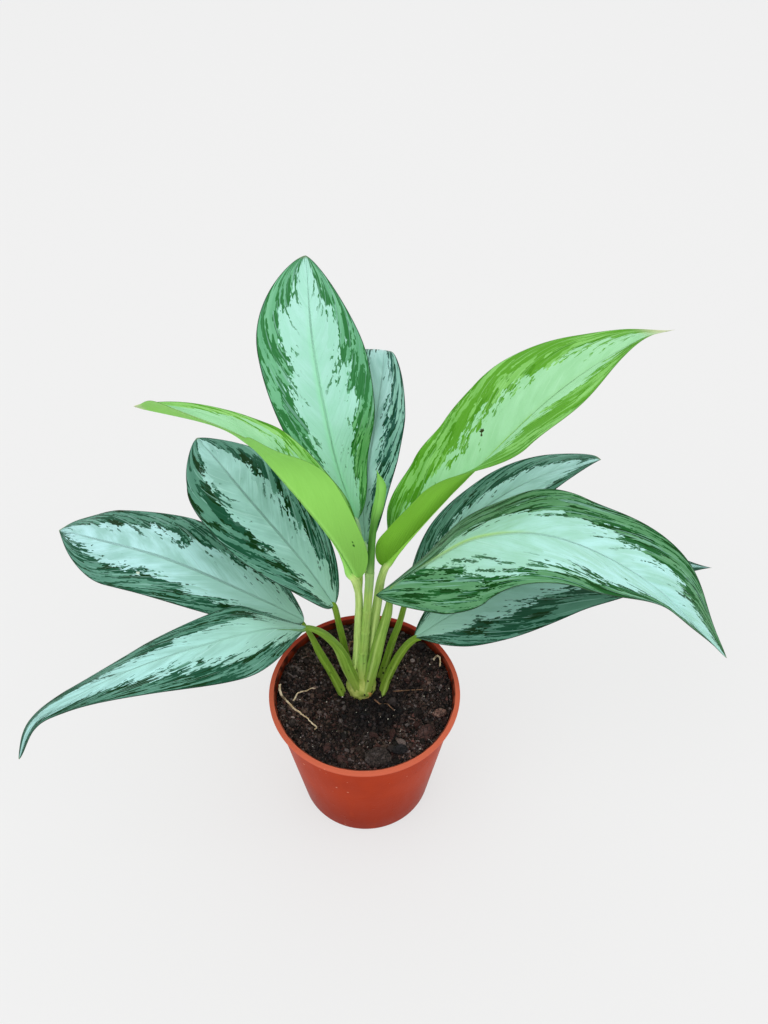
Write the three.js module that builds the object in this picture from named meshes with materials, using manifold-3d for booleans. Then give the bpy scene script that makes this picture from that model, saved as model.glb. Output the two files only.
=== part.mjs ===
import * as THREE from 'three';
import { mergeVertices } from 'three/addons/utils/BufferGeometryUtils.js';
import Module from 'manifold-3d';

// A potted chinese evergreen, in millimetres, with +Z up.
// The origin is the middle of the pot's underside and the Z axis is the pot's axis.

const wasm = await Module();
wasm.setup();

const gap = 0.3; // clearance between pieces that rest on each other
const up = new THREE.Vector3(0, 0, 1);

// Pot: a 12 cm nursery pot.
const potHeight = 102;
const rimRadius = 60;
const rimWidth = 3.8; // flat lip, seen from above
const rimThickness = 1.8;
const collarHeight = 6;
const collarStep = 1; // how far the collar stands proud of the wall
const baseRadius = 42.3;
const baseThickness = 2.4;
const wallThickness = 1.6;
const drainCount = 8;
const drainRadius = 4.2;
const drainCircle = 29;
const edgeRound = 0.8; // bevel on the rim and round the foot
const potSides = 48;
const drainSides = 12;

// Potting mix: flat round the crown, then rising like a dish to the wall of the pot.
const mixEdgeHeight = 97;
const mixMiddleHeight = 93;
const mixRise = 0.45; // share of its radius where it starts to rise
const mixBottom = baseThickness + gap;
const mixShares = [0.9, 0.8, 0.7, 0.6, 0.5, 0.45, 0]; // rings of the surface, as shares of its radius
const mixSides = 36;

// Crown, off the pot's axis.
const crownX = -1.8;
const crownY = 11;
const crownRadius = 8.6;
const crownTop = 98.6;
const crownSides = 20;
const crownEdge = 0.5;

// Blades.
const bladeThickness = 0.8;
const bladeRows = 17;
const bladeColumns = 4; // strips in each half
const bladeStart = 0.012; // the ends of the midrib that the blade leaves free
const bladeEnd = 0.988;
const bladeCurl = -10; // degrees that a half bends down towards its margin
const fullThicknessFrom = 8; // half width below which a blade gets thinner
const waveCount = 2.8; // ripples along a wavy margin
const lobeFade = 12; // how soon a lobe at the base dies away along the midrib

// Stalks.
const kneeLength = 3; // top of a stalk that runs in line with the midrib
const rodSides = 8;
const rodRows = 11;

// Each leaf has a midrib from its base to its tip. A half blade has its width at the
// widest place, where that is along the midrib (0 to 1), how bluntly it starts and ends
// (small numbers are blunt), and the angles in degrees at which it is folded up along
// the midrib. The left half lies to the left when looking from the base to the tip.
const leaves = [
  {
    name: 'top',
    young: false,
    midrib: [[-4, 43, 214], [-14, 58, 239], [-21, 72, 268], [-28, 92, 309], [-30, 114, 349]],
    left: { width: 30.5, widest: 0.68, start: 0.85, end: 0.65, fold: [25, 10, 5] },
    right: { width: 30.5, widest: 0.55, start: 0.65, end: 0.8, fold: [25, 10, 5] },
    stalk: [[-4.2, 15.2, 99], [-4.6, 22, 120.6], [-3.6, 29.6, 145.8], [-2.4, 37.4, 174.2], [-2.2, 40.6, 197]],
    radii: [1.9, 1.9, 1.7, 1.6],
  },
  {
    name: 'top_back',
    young: false,
    midrib: [[1, 44, 191], [0, 58, 215], [4, 73, 239], [8, 86, 261], [11, 98, 278.5], [12, 111, 284], [13, 131, 268]],
    left: { width: 23, widest: 0.5, start: 0.65, end: 0.8, fold: [20, 10, 5] },
    right: { width: 18.5, widest: 0.51, start: 0.53, end: 1.95, fold: [20, 15, -6] },
    stalk: [[0.6, 15.2, 99], [1.6, 23.4, 120.6], [2.2, 30.6, 145.8], [2.4, 37.6, 168.6]],
    radii: [1.9, 1.8, 1.6, 1.6],
  },
  {
    name: 'right_young',
    young: true,
    midrib: [[12, 25, 194], [27, 26, 218], [58, 37, 255.5], [104, 61, 296], [148, 85, 313], [177, 106, 305]],
    left: { width: 44.2, widest: 0.55, start: 0.62, end: 1.9, fold: [52, 6, -2, 10] },
    right: { width: 26.7, widest: 0.49, start: 0.43, end: 3, fold: [104, 85, 35, 3, 22] },
    stalk: [[3.4, 11.2, 99], [4.8, 20, 121.8], [6.2, 23.2, 141.2], [8.2, 25.2, 159.4], [10, 26.2, 177.6]],
    radii: [2, 2.5, 2.6, 2.2],
  },
  {
    name: 'left_young',
    young: true,
    midrib: [[-4, 19, 191], [-18, 23, 222], [-49, 40, 260], [-63, 49, 271], [-83, 57, 278], [-130, 79, 271]],
    left: { width: 31.6, widest: 0.73, start: 0.48, end: 1.2, fold: [94, 110, 55, 70] },
    right: { width: 21.6, widest: 0.3, start: 1.3, end: 0.74, fold: [70, 52, 0, 33] },
    stalk: [[-6.8, 11, 99], [-4.8, 17, 120.6], [-3.2, 20.4, 148], [-2.8, 21.4, 172]],
    radii: [1.9, 1.9, 2, 2.1],
  },
  {
    name: 'left_back',
    young: false,
    midrib: [[-18, 25, 157], [-36, 37, 182], [-71, 65, 212], [-87, 86, 216], [-104, 112, 214]],
    left: { width: 31.2, widest: 0.55, start: 0.49, end: 0.74, fold: [34, 2, -4] },
    right: { width: 31.8, widest: 0.6, start: 0.58, end: 0.8, fold: [22, 6, 5] },
    stalk: [[-9, 21.6, 93.3], [-12, 24.6, 103.6], [-13.8, 25.4, 120.6], [-15.8, 25.4, 137.8]],
    radii: [2, 2, 1.7],
  },
  {
    name: 'left_middle',
    young: false,
    midrib: [[-37, 24, 143], [-62, 25, 162], [-116, 36, 186], [-170, 64, 174], [-195, 82, 161]],
    left: { width: 25.8, widest: 0.66, start: 0.47, end: 0.95, fold: [-15, -10, -28] },
    right: { width: 38.2, widest: 0.44, start: 0.68, end: 0.4, fold: [19, -1, 5] },
    stalk: [[-15, 5, 93.3], [-21, 11.6, 104.8], [-27.8, 16.4, 118.4], [-32.8, 20.2, 131]],
    radii: [2.5, 2.4, 1.9],
  },
  {
    name: 'left_low',
    young: false,
    midrib: [[-34, 14, 150], [-64, -12, 179], [-122, -35, 180], [-173, -40, 149], [-195, -42, 128], [-207, -49, 102]],
    left: { width: 24.1, widest: 0.27, start: 0.96, end: 3.5, tail: 0.22, fold: [-52, -5, -27] },
    right: { width: 24.1, widest: 0.21, start: 0.98, end: 3.4, tail: 0.45, fold: [6, -10, 10] },
    stalk: [[-5, 5.8, 99], [-11, 10.8, 113.8], [-15.8, 13.4, 127.6], [-21.8, 14.6, 137.8], [-27.6, 13.8, 145.8]],
    radii: [2.4, 3.3, 2.6, 2],
  },
  {
    name: 'right_back',
    young: false,
    midrib: [[26, 38, 146], [52, 58, 183], [82, 72, 203], [113, 86, 210], [147, 102, 205]],
    left: { width: 19.5, widest: 0.56, start: 0.77, end: 0.4, fold: [18, 4, -6] },
    right: { width: 21.5, widest: 0.44, start: 0.7, end: 1.1, fold: [20, 5, 14] },
    stalk: [[10.4, 15.6, 93.3], [14, 22.6, 103.6], [18, 28.4, 117.2], [22, 32.2, 129.8]],
    radii: [2.1, 2, 1.7],
  },
  {
    name: 'right_front',
    young: false,
    midrib: [[13, 19, 171.5], [34, 18, 203], [66, 18, 229], [109, 12, 235], [165, 7, 200], [221, 2, 134]],
    left: { width: 34, widest: 0.41, start: 1.6, end: 0.81, fold: [-19, -9, 12, 50, 22] },
    right: { width: 38, widest: 0.28, start: 0.61, end: 1.95, fold: [-49, -20, 10, 2, 52], lobe: 2, wave: 4 },
    stalk: [[2, 5.4, 99], [6.2, 11.4, 117.2], [9.2, 15.8, 135.4], [11.2, 18, 156]],
    radii: [2.8, 3.2, 2.8, 2],
  },
  {
    name: 'right_low',
    young: false,
    midrib: [[31, 19, 132], [54, 20, 155], [83, 25, 172], [153, 38, 184], [214, 47, 166]],
    left: { width: 29.5, widest: 0.4, start: 0.6, end: 1.3, fold: [20, 8, 5] },
    right: { width: 39, widest: 0.34, start: 1.07, end: 1.3, fold: [10, 15, -50] },
    stalk: [[12, 6, 93.3], [14.6, 11.6, 99], [20, 17.6, 109.2], [26, 19.6, 121.8]],
    radii: [2.4, 2.4, 1.9],
  },
];

// Central stem, and the youngest leaf standing on it, still rolled up.
const stemPath = [[-1.8, 11, 99], [-0.4, 17.8, 119.6], [1.2, 19.6, 145.8], [3, 18.8, 174.2], [4.2, 18.6, 193.6]];
const stemRadii = [2.2, 1.9, 2, 2.4];
const furledPath = [
  [4.4, 19, 194.4], [5.2, 23.8, 217], [6.6, 26, 232], [9, 28, 244], [10.4, 29.6, 254], [10.1, 31, 259], [8.2, 31.5, 268],
];
const furledRadii = [2.4, 2.4, 2.3, 2.3, 3, 2.9, 0.4];

// Bark chips lying on the mix: place, size, turn about the vertical and corner count.
const chipUnevenness = 0.12;
const chips = [
  { x: 8.8, y: -45.2, length: 16, width: 14, height: 3, turn: 20, corners: 8 },
  { x: 21.9, y: -39.9, length: 9.5, width: 7, height: 2.2, turn: 15, corners: 6 },
  { x: -13.8, y: -45.7, length: 7, width: 5.5, height: 2, turn: -25, corners: 6 },
  { x: -22.5, y: -38.4, length: 6.5, width: 5, height: 2, turn: 60, corners: 5 },
  { x: 38.7, y: -27.3, length: 13, width: 11, height: 3, turn: 35, corners: 7 },
  { x: 47.1, y: -13.8, length: 9, width: 6.5, height: 2.6, turn: 10, corners: 6 },
  { x: -44.7, y: -20.5, length: 5, width: 4.5, height: 1.8, turn: 95, corners: 5 },
];

// Surface roots and a thin twig: x, y and the height of the lower side above the mix.
const rootSteps = 14;
const rootSegments = 3;
const roots = [
  {
    name: 'root_left',
    radius: 0.9,
    path: [[-53.6, 3.6, 5], [-50.9, -2.8, 1], [-45, -9.1, gap], [-38.2, -14.2, gap], [-31, -21, gap], [-31, -25, gap]],
  },
  { name: 'root_left_fork', radius: 0.6, path: [[-44.6, -3, gap], [-40.7, 2.2, gap], [-35.8, 5.4, gap], [-31.9, 6.6, gap]] },
  { name: 'root_right', radius: 0.8, path: [[44.6, 26.4, gap], [46.8, 27.7, 1], [48.2, 24.9, 1], [48.4, 21.2, gap]] },
  { name: 'root_middle', radius: 0.5, path: [[6, -2, gap], [10, -4.6, gap], [14.6, -5.6, gap], [19, -9.4, gap]] },
  { name: 'root_back', radius: 0.8, path: [[-10.9, 35.1, gap], [-10.5, 37.7, 3], [-8.9, 39.4, 3.6], [-7.3, 37.8, gap]] },
  { name: 'twig', radius: 0.5, path: [[18, 4.2, gap], [27, 5.1, gap], [36.9, 4.3, gap]] },
];

function finish(roughness, color) {
  return new THREE.MeshStandardMaterial({ color, roughness, metalness: 0 });
}

const plastic = finish(0.45, 0xb4472a);
const soil = finish(0.95, 0x2b2321);
const matureLeaf = finish(0.4, 0x7fb39b);
const youngLeaf = finish(0.4, 0x93cf6a);
const stalkGreen = finish(0.5, 0x9abf5c);
const stemBase = finish(0.6, 0xb9bd6e);
const barkBrown = finish(0.9, 0x4a382f);
const rootCream = finish(0.8, 0xc9b48a);

const pointsOf = (path) => path.map((point) => new THREE.Vector3(...point));
const curveOf = (path) => new THREE.CatmullRomCurve3(pointsOf(path), false, 'catmullrom', 0.5);
const radians = THREE.MathUtils.degToRad;

// Values at equal steps from 0 to 1, joined by smooth steps.
function between(values, u) {
  const position = THREE.MathUtils.clamp(u, 0, 1) * (values.length - 1);
  const step = Math.min(Math.floor(position), values.length - 2);
  const blend = THREE.MathUtils.smoothstep(position - step, 0, 1);
  return THREE.MathUtils.lerp(values[step], values[step + 1], blend);
}

// A closed body through rings of equal length, each ring closed on itself and the two
// end rings filled. Seen from the first ring towards the last, a ring runs clockwise.
function skin(rings) {
  const count = rings[0].length;
  const last = (rings.length - 1) * count;
  const faces = [];
  for (let start = 0; start < last; start += count) {
    for (let j = 0; j < count; j += 1) {
      const a = start + j;
      const b = start + ((j + 1) % count);
      faces.push(a, b, b + count, a, b + count, a + count);
    }
  }
  for (let j = 0; j < count / 2 - 1; j += 1) {
    const k = count - 1 - j;
    faces.push(j, k, k - 1, j, k - 1, j + 1);
    faces.push(last + j, last + k - 1, last + k, last + j, last + j + 1, last + k - 1);
  }
  const body = new THREE.BufferGeometry();
  const places = rings.flat().flatMap((point) => point.toArray());
  body.setAttribute('position', new THREE.Float32BufferAttribute(places, 3));
  body.setIndex(faces);
  return body.toNonIndexed();
}

// A round rod along a path, with its radius given at equal steps.
function rod(path, radii) {
  const curve = curveOf(path);
  const rings = [];
  for (let i = 0; i < rodRows; i += 1) {
    const u = i / (rodRows - 1);
    const centre = curve.getPointAt(u);
    const along = curve.getTangentAt(u);
    const across = new THREE.Vector3(1, 0, 0).addScaledVector(along, -along.x).normalize();
    const third = new THREE.Vector3().crossVectors(along, across);
    const radius = between(radii, u);
    const ring = [];
    for (let j = 0; j < rodSides; j += 1) {
      const angle = (2 * Math.PI * j) / rodSides;
      const point = centre.clone()
        .addScaledVector(across, radius * Math.cos(angle))
        .addScaledVector(third, radius * Math.sin(angle));
      if (i === 0) {
        point.addScaledVector(along, (centre.z - point.z) / along.z); // the foot is cut level
      }
      ring.push(point);
    }
    rings.push(ring);
  }
  return skin(rings);
}

// Share of the full width at u along the midrib.
function outline(half, u) {
  if (u < half.widest) {
    return Math.sin((Math.PI / 2) * (u / half.widest)) ** half.start;
  }
  const tail = half.tail ?? 0;
  const fall = Math.cos((Math.PI / 2) * ((u - half.widest) / (1 - half.widest)));
  return (1 - tail) * fall ** half.end + tail * fall ** 0.5;
}

// One ring of a blade: the upper face from the left margin to the right margin, then
// the underside back again.
function bladeRing(leaf, curve, u) {
  const base = curve.getPointAt(u);
  const along = curve.getTangentAt(u);
  const side = new THREE.Vector3().crossVectors(along, up).normalize();
  const normal = new THREE.Vector3().crossVectors(side, along);
  const upper = [];
  const lower = [];
  const curl = radians(bladeCurl);
  for (let j = -bladeColumns; j <= bladeColumns; j += 1) {
    const half = j < 0 ? leaf.left : leaf.right;
    const hand = j < 0 ? -1 : 1;
    const t = Math.abs(j) / bladeColumns;
    const width = half.width * outline(half, u);
    const fold = j === 0 ? 0 : radians(between(half.fold, u));
    const angle = fold + curl * t;
    const out = (width / curl) * (Math.sin(angle) - Math.sin(fold));
    const ripple = (half.wave ?? 0) * Math.cos(2 * Math.PI * waveCount * u) * Math.sin(Math.PI * u) * t * t;
    const rise = (width / curl) * (Math.cos(fold) - Math.cos(angle)) + ripple;
    const back = (half.lobe ?? 0) * t ** 3 * (1 - u) ** lobeFade;
    const top = base.clone()
      .addScaledVector(side, hand * out)
      .addScaledVector(normal, rise)
      .addScaledVector(along, -back);
    const thickness = bladeThickness * Math.min(1, width / fullThicknessFrom);
    const below = top.clone()
      .addScaledVector(normal, -thickness * Math.cos(angle))
      .addScaledVector(side, hand * thickness * Math.sin(angle));
    upper.push(top);
    lower.unshift(below);
  }
  return [...upper, ...lower];
}

function blade(leaf) {
  const curve = curveOf(leaf.midrib);
  const rings = [];
  for (let i = 0; i < bladeRows; i += 1) {
    const u = THREE.MathUtils.lerp(bladeStart, bladeEnd, i / (bladeRows - 1));
    rings.push(bladeRing(leaf, curve, u));
  }
  return skin(rings);
}

// The path of a stalk: the listed points, then the knee just under the blade.
function stalkPath(leaf) {
  const midrib = curveOf(leaf.midrib);
  const start = midrib.getPointAt(bladeStart);
  const along = midrib.getTangentAt(bladeStart);
  const knee = (back) => start.clone().addScaledVector(along, -back).toArray();
  return [...leaf.stalk, knee(kneeLength), knee(gap)];
}

// The same body for the boolean library, and back again.
function solidOf(geometry) {
  const bare = new THREE.BufferGeometry();
  bare.setAttribute('position', geometry.getAttribute('position'));
  bare.setIndex(geometry.getIndex());
  const merged = mergeVertices(bare, 1e-4);
  const mesh = new wasm.Mesh({
    numProp: 3,
    vertProperties: new Float32Array(merged.getAttribute('position').array),
    triVerts: new Uint32Array(merged.getIndex().array),
  });
  return new wasm.Manifold(mesh);
}

function geometryOf(solid) {
  const mesh = solid.getMesh();
  const geometry = new THREE.BufferGeometry();
  geometry.setAttribute('position', new THREE.BufferAttribute(mesh.vertProperties, 3));
  geometry.setIndex(new THREE.BufferAttribute(mesh.triVerts, 1));
  return geometry;
}

// Outer and inner radius of the pot's tapered wall at a height.
const wallTop = rimRadius - rimWidth + wallThickness;
const wallRadiusAt = (z) => THREE.MathUtils.lerp(baseRadius, wallTop, z / potHeight);
const innerRadiusAt = (z) => wallRadiusAt(z) - wallThickness;

// The pot turned about Z, with a ring of drain holes through its base.
function pot() {
  const collarFoot = potHeight - rimThickness - collarHeight;
  const innerTop = rimRadius - rimWidth;
  const profile = [
    [0, 0],
    [baseRadius - edgeRound, 0],
    [baseRadius, edgeRound],
    [wallRadiusAt(collarFoot), collarFoot],
    [wallRadiusAt(collarFoot) + collarStep, collarFoot],
    [rimRadius - edgeRound, potHeight - rimThickness],
    [rimRadius, potHeight - rimThickness / 2],
    [rimRadius - edgeRound, potHeight],
    [innerTop, potHeight],
    [innerRadiusAt(potHeight - rimThickness), potHeight - rimThickness],
    [innerRadiusAt(baseThickness), baseThickness],
    [0, baseThickness],
  ].map(([r, z]) => new THREE.Vector2(r, z));
  const shell = new THREE.LatheGeometry(profile, potSides).rotateX(Math.PI / 2);
  let body = solidOf(shell);
  for (let i = 0; i < drainCount; i += 1) {
    const angle = (2 * Math.PI * (i + 0.5)) / drainCount;
    const drill = new THREE.CylinderGeometry(drainRadius, drainRadius, 4 * baseThickness, drainSides)
      .rotateX(Math.PI / 2)
      .translate(drainCircle * Math.cos(angle), drainCircle * Math.sin(angle), 0);
    body = body.subtract(solidOf(drill));
  }
  return geometryOf(body);
}

// Height of the mix's surface at a place.
function mixHeightAt(x, y) {
  const share = Math.hypot(x, y) / innerRadiusAt(mixEdgeHeight);
  const climb = THREE.MathUtils.smoothstep(share, mixRise, 1);
  return THREE.MathUtils.lerp(mixMiddleHeight, mixEdgeHeight, climb);
}

function pottingMix() {
  const edge = innerRadiusAt(mixEdgeHeight) - 2 * gap;
  const profile = [[0, mixBottom], [innerRadiusAt(mixBottom) - 2 * gap, mixBottom], [edge, mixEdgeHeight]];
  for (const share of mixShares) {
    profile.push([edge * share, mixHeightAt(edge * share, 0)]);
  }
  const points = profile.map(([r, z]) => new THREE.Vector2(r, z));
  return new THREE.LatheGeometry(points, mixSides).rotateX(Math.PI / 2);
}

function crown() {
  const foot = mixMiddleHeight + gap;
  const height = crownTop - foot;
  const points = [
    [0, 0],
    [crownRadius - 2 * crownEdge, 0],
    [crownRadius, height / 2],
    [crownRadius - crownEdge, height],
    [0, height],
  ].map(([r, z]) => new THREE.Vector2(r, foot + z));
  return new THREE.LatheGeometry(points, crownSides).rotateX(Math.PI / 2).translate(crownX, crownY, 0);
}

// An uneven flat slab, laid just above the mix, which is highest under its outer end.
function chip({ x, y, length, width, height, turn, corners }) {
  const shape = new THREE.Shape();
  for (let i = 0; i < corners; i += 1) {
    const angle = (2 * Math.PI * i) / corners;
    const reach = 0.5 * (1 + chipUnevenness * Math.cos(3 * angle + x));
    const corner = [length * reach * Math.cos(angle), width * reach * Math.sin(angle)];
    if (i === 0) {
      shape.moveTo(...corner);
    } else {
      shape.lineTo(...corner);
    }
  }
  const slab = new THREE.ExtrudeGeometry(shape, { depth: height, bevelEnabled: false });
  const lift = mixHeightAt(Math.hypot(x, y) + length / 2, 0) + gap;
  return slab.rotateZ(radians(turn)).translate(x, y, lift);
}

function root({ radius, path }) {
  const lifted = path.map(([x, y, lift]) => [x, y, mixHeightAt(x, y) + radius + lift]);
  const section = new THREE.Shape().absarc(0, 0, radius, 0, 2 * Math.PI);
  return new THREE.ExtrudeGeometry(section, {
    extrudePath: curveOf(lifted),
    steps: rootSteps,
    curveSegments: rootSegments,
    bevelEnabled: false,
  });
}

const plant = new THREE.Group();

function add(name, geometry, material) {
  const mesh = new THREE.Mesh(geometry, material);
  mesh.name = name;
  plant.add(mesh);
}

add('pot', pot(), plastic);
add('potting_mix', pottingMix(), soil);
add('crown', crown(), stemBase);
add('central_stem', rod(stemPath, stemRadii), stalkGreen);
add('furled_leaf', rod(furledPath, furledRadii), youngLeaf);
for (const leaf of leaves) {
  add(`stalk_${leaf.name}`, rod(stalkPath(leaf), leaf.radii), stalkGreen);
  add(`blade_${leaf.name}`, blade(leaf), leaf.young ? youngLeaf : matureLeaf);
}
chips.forEach((size, index) => add(`bark_chip_${index + 1}`, chip(size), barkBrown));
for (const shape of roots) {
  add(shape.name, root(shape), rootCream);
}

export default plant;
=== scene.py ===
import math

import bmesh
import bpy
import numpy as np
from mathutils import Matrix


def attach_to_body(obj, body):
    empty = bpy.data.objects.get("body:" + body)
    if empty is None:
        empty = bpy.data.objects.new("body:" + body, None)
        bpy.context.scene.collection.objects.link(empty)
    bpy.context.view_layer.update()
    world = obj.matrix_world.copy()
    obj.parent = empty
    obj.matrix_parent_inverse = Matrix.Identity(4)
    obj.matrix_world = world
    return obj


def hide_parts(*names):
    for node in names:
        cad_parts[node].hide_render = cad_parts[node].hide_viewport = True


# A potted chinese evergreen. Shapes are worked out in millimetres and scaled at the end.

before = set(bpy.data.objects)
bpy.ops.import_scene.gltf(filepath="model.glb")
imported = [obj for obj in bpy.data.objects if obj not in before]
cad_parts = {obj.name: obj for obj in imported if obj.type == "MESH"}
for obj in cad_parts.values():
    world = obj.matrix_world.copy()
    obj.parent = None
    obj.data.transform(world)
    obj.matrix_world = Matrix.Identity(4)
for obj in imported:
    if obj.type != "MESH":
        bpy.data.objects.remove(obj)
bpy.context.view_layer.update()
print("frame loaded,", len(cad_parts), "nodes")

mm = 0.001
scene = bpy.context.scene
upward = np.array([0.0, 0.0, 1.0])


# A curve through the points by the Catmull-Rom formula, read at shares of its length from 0 to 1.
# Returns the places and the unit directions there, and the length.
def alongCurve(points, share, fineness=900):
    knots = np.array(points, float)
    knots = np.vstack([2 * knots[0] - knots[1], knots, 2 * knots[-1] - knots[-2]])
    time = np.linspace(0, len(knots) - 3, fineness)
    span = np.minimum(time.astype(int), len(knots) - 4)
    w = (time - span)[:, None]
    before, start, end, after = (knots[span + k] for k in range(4))
    leave = 0.5 * (end - before)
    arrive = 0.5 * (after - start)
    curve = (2 * start - 2 * end + leave + arrive) * w**3
    curve += (3 * end - 3 * start - 2 * leave - arrive) * w**2 + leave * w + start
    steps = np.linalg.norm(np.diff(curve, axis=0), axis=1)
    length = np.concatenate([[0], np.cumsum(steps)])
    slope = np.gradient(curve, length, axis=0)
    where = np.asarray(share, float) * length[-1]
    place, along = (np.stack([np.interp(where, length, line[:, k]) for k in range(3)], -1)
                    for line in (curve, slope))
    return place, unit(along), length[-1]


def unit(vectors):
    return vectors / np.maximum(np.linalg.norm(vectors, axis=-1, keepdims=True), 1e-12)


# From 0 to 1 with a level start and end: w * w * (3 - 2 w).
def eased(w):
    return w * w * (3 - 2 * w)


# The eased share of the way from low to high.
def smooth(low, high, value):
    return eased(np.clip((value - low) / (high - low), 0, 1))


# Values at equal steps from 0 to 1, joined by smooth steps.
def between(values, share):
    values = np.array(values, float)
    position = np.clip(share, 0, 1) * (len(values) - 1)
    step = np.minimum(position.astype(int), len(values) - 2)
    return values[step] + (values[step + 1] - values[step]) * eased(position - step)


# Random numbers from -1 to 1 on a lattice one unit wide, joined by smooth steps.
def lattice(places, seed):
    cell = np.floor(places).astype(np.int64)
    w = eased(places - cell)
    total = np.zeros(places.shape[:-1])
    for corner in range(8):
        step = np.array([corner & 1, corner >> 1 & 1, corner >> 2])
        x, y, z = np.moveaxis(cell + step, -1, 0)
        key = (x * 73856093 ^ y * 19349663 ^ z * 83492791 ^ seed * 2654435761) & 0xFFFFFFFF
        key = (key ^ key >> 15) * 2246822519 & 0xFFFFFFFF
        key = (key ^ key >> 13) * 3266489917 & 0xFFFFFFFF
        total += ((key ^ key >> 16) / 2**31 - 1) * np.prod(np.where(step, w, 1 - w), axis=-1)
    return total


# Finer and finer lattices on top of each other, each one fainter than the last.
def grains(places, seed, octaves=4):
    return sum(lattice(places * 2.1**k, seed + k) / 1.8**k for k in range(octaves))


# Fields on the same rows and columns, stacked into one field of vectors.
def fieldOf(*parts):
    return np.stack(np.broadcast_arrays(*parts), -1)


# Equal steps of the turn round a ring, in radians.
def turns(columns):
    return np.linspace(0, 2 * np.pi, columns, endpoint=False)


# Quads between rings of equal length, each closed on itself, and a fan of triangles over each end.
def ringFaces(rows, columns):
    grid = np.arange(rows * columns).reshape(rows, columns)
    beside = np.roll(grid, -1, axis=1)
    quads = np.stack([grid[:-1], beside[:-1], beside[1:], grid[1:]], -1).reshape(-1, 4)
    first = np.full(columns, rows * columns)
    fans = [[first, beside[0], grid[0]], [first + 1, grid[-1], beside[-1]]]
    return [quads, np.hstack([np.array(fan) for fan in fans]).T]


# All values of a field, then the mean of its first ring and of its last one.
def withEnds(field):
    flat = field.reshape(-1, *field.shape[2:])
    return np.concatenate([flat, field[0].mean(0)[None], field[-1].mean(0)[None]])


# The enclosed volume is a sixth of the sum of corner . (corner x corner); below zero, faces turn round.
def facingOut(points, faceSets):
    volume = 0.0
    for faces in faceSets:
        for k in range(1, faces.shape[1] - 1):
            a, b, c = points[faces[:, 0]], points[faces[:, k]], points[faces[:, k + 1]]
            volume += np.einsum("ij,ij->", a, np.cross(b, c))
    return faceSets if volume > 0 else [faces[:, ::-1] for faces in faceSets]


# A mesh in metres from points in mm, with its attributes, its slot and the node that it replaces.
def addPiece(name, points, faceSets, material, replaced, values=None, flat=False):
    mesh = bpy.data.meshes.new(name)
    corners = np.concatenate([faces.ravel() for faces in faceSets])
    sizes = np.concatenate([np.full(len(faces), faces.shape[1]) for faces in faceSets])
    mesh.vertices.add(len(points))
    mesh.vertices.foreach_set("co", (points * mm).ravel())
    mesh.loops.add(len(corners))
    mesh.loops.foreach_set("vertex_index", corners.astype(np.int32))
    mesh.polygons.add(len(sizes))
    mesh.polygons.foreach_set("loop_start", (np.cumsum(sizes) - sizes).astype(np.int32))
    mesh.polygons.foreach_set("use_smooth", np.full(len(sizes), not flat))
    for key, value in (values or {}).items():
        kind, part = ("FLOAT_VECTOR", "vector") if value.ndim == 2 else ("FLOAT", "value")
        mesh.attributes.new(key, kind, "POINT").data.foreach_set(part, value.astype(np.float32).ravel())
    mesh.update(calc_edges=True)
    mesh.validate()
    piece = bpy.data.objects.new(name, mesh)
    scene.collection.objects.link(piece)
    mesh.materials.append(material)
    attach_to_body(piece, "root")
    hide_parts(replaced)


# A piece made of rings, which takes the place of the node that has its name.
def addRings(name, rings, material, values=None):
    points = withEnds(rings)
    ended = {key: withEnds(value) for key, value in (values or {}).items()}
    addPiece(name, points, facingOut(points, ringFaces(*rings.shape[:2])), material, name, ended)


# Red, green and blue from 0 to 255 as the linear colour of a socket; anything else is left as it is.
def linear(colour):
    if not (isinstance(colour, tuple) and len(colour) == 3):
        return colour
    part = np.array(colour) / 255
    level = np.where(part < 0.04045, part / 12.92, ((part + 0.055) / 1.055) ** 2.4)
    return (*level.tolist(), 1.0)


tree = None  # the node tree of the material that is being made


# A material with its fixed values; the functions below add their nodes to it.
def newMaterial(name, roughness=0.5, specular=0.5, others=None):
    global tree
    material = bpy.data.materials.new(name)
    material.use_nodes = True
    tree = material.node_tree
    fixed = {"Roughness": roughness, "Specular IOR Level": specular, **(others or {})}
    for key, value in fixed.items():
        tree.nodes["Principled BSDF"].inputs[key].default_value = value
    return material


# A shader node: sockets that come as links are joined, plain values are set.
def node(kind, sockets=None, **settings):
    made = tree.nodes.new("ShaderNode" + kind)
    for key, value in settings.items():
        setattr(made, key, value)
    for key, value in (sockets or {}).items():
        if isinstance(value, bpy.types.NodeSocket):
            tree.links.new(value, made.inputs[key])
        else:
            made.inputs[key].default_value = value
    return made


def calc(operation, a, b=0.0):
    return node("Math", {0: a, 1: b}, operation=operation).outputs[0]


def plus(first, *others):
    for other in others:
        first = calc("ADD", first, other)
    return first


def times(first, *others):
    for other in others:
        first = calc("MULTIPLY", first, other)
    return first


def above(value, limit):
    return calc("GREATER_THAN", value, limit)


# value * factor + shift.
def scaled(value, factor, shift=0.0):
    return node("Math", {0: value, 1: factor, 2: shift}, operation="MULTIPLY_ADD").outputs[0]


# A noise from 0 to 1 as a shift to either side.
def swing(value, amount):
    return scaled(value, amount, -amount / 2)


# A smooth step from 0 at the first value to the most at the second one.
def edge(value, start, end, most=None):
    made = node("MapRange", {0: value, 1: start, 2: end}, interpolation_type="SMOOTHSTEP").outputs[0]
    return made if most is None else scaled(made, most)


def blend(share, a, b, kind="MIX"):
    sockets = {0: share, 6: linear(a), 7: linear(b)}
    return node("Mix", sockets, data_type="RGBA", blend_type=kind).outputs[2]


# Coats of paint, each one a share and a colour, laid over the first colour.
def layered(tone, *coats):
    for share, colour in coats:
        tone = blend(share, tone, colour)
    return tone


def vector(x, y, z=0.0):
    return node("CombineXYZ", {0: x, 1: y, 2: z}).outputs[0]


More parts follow.
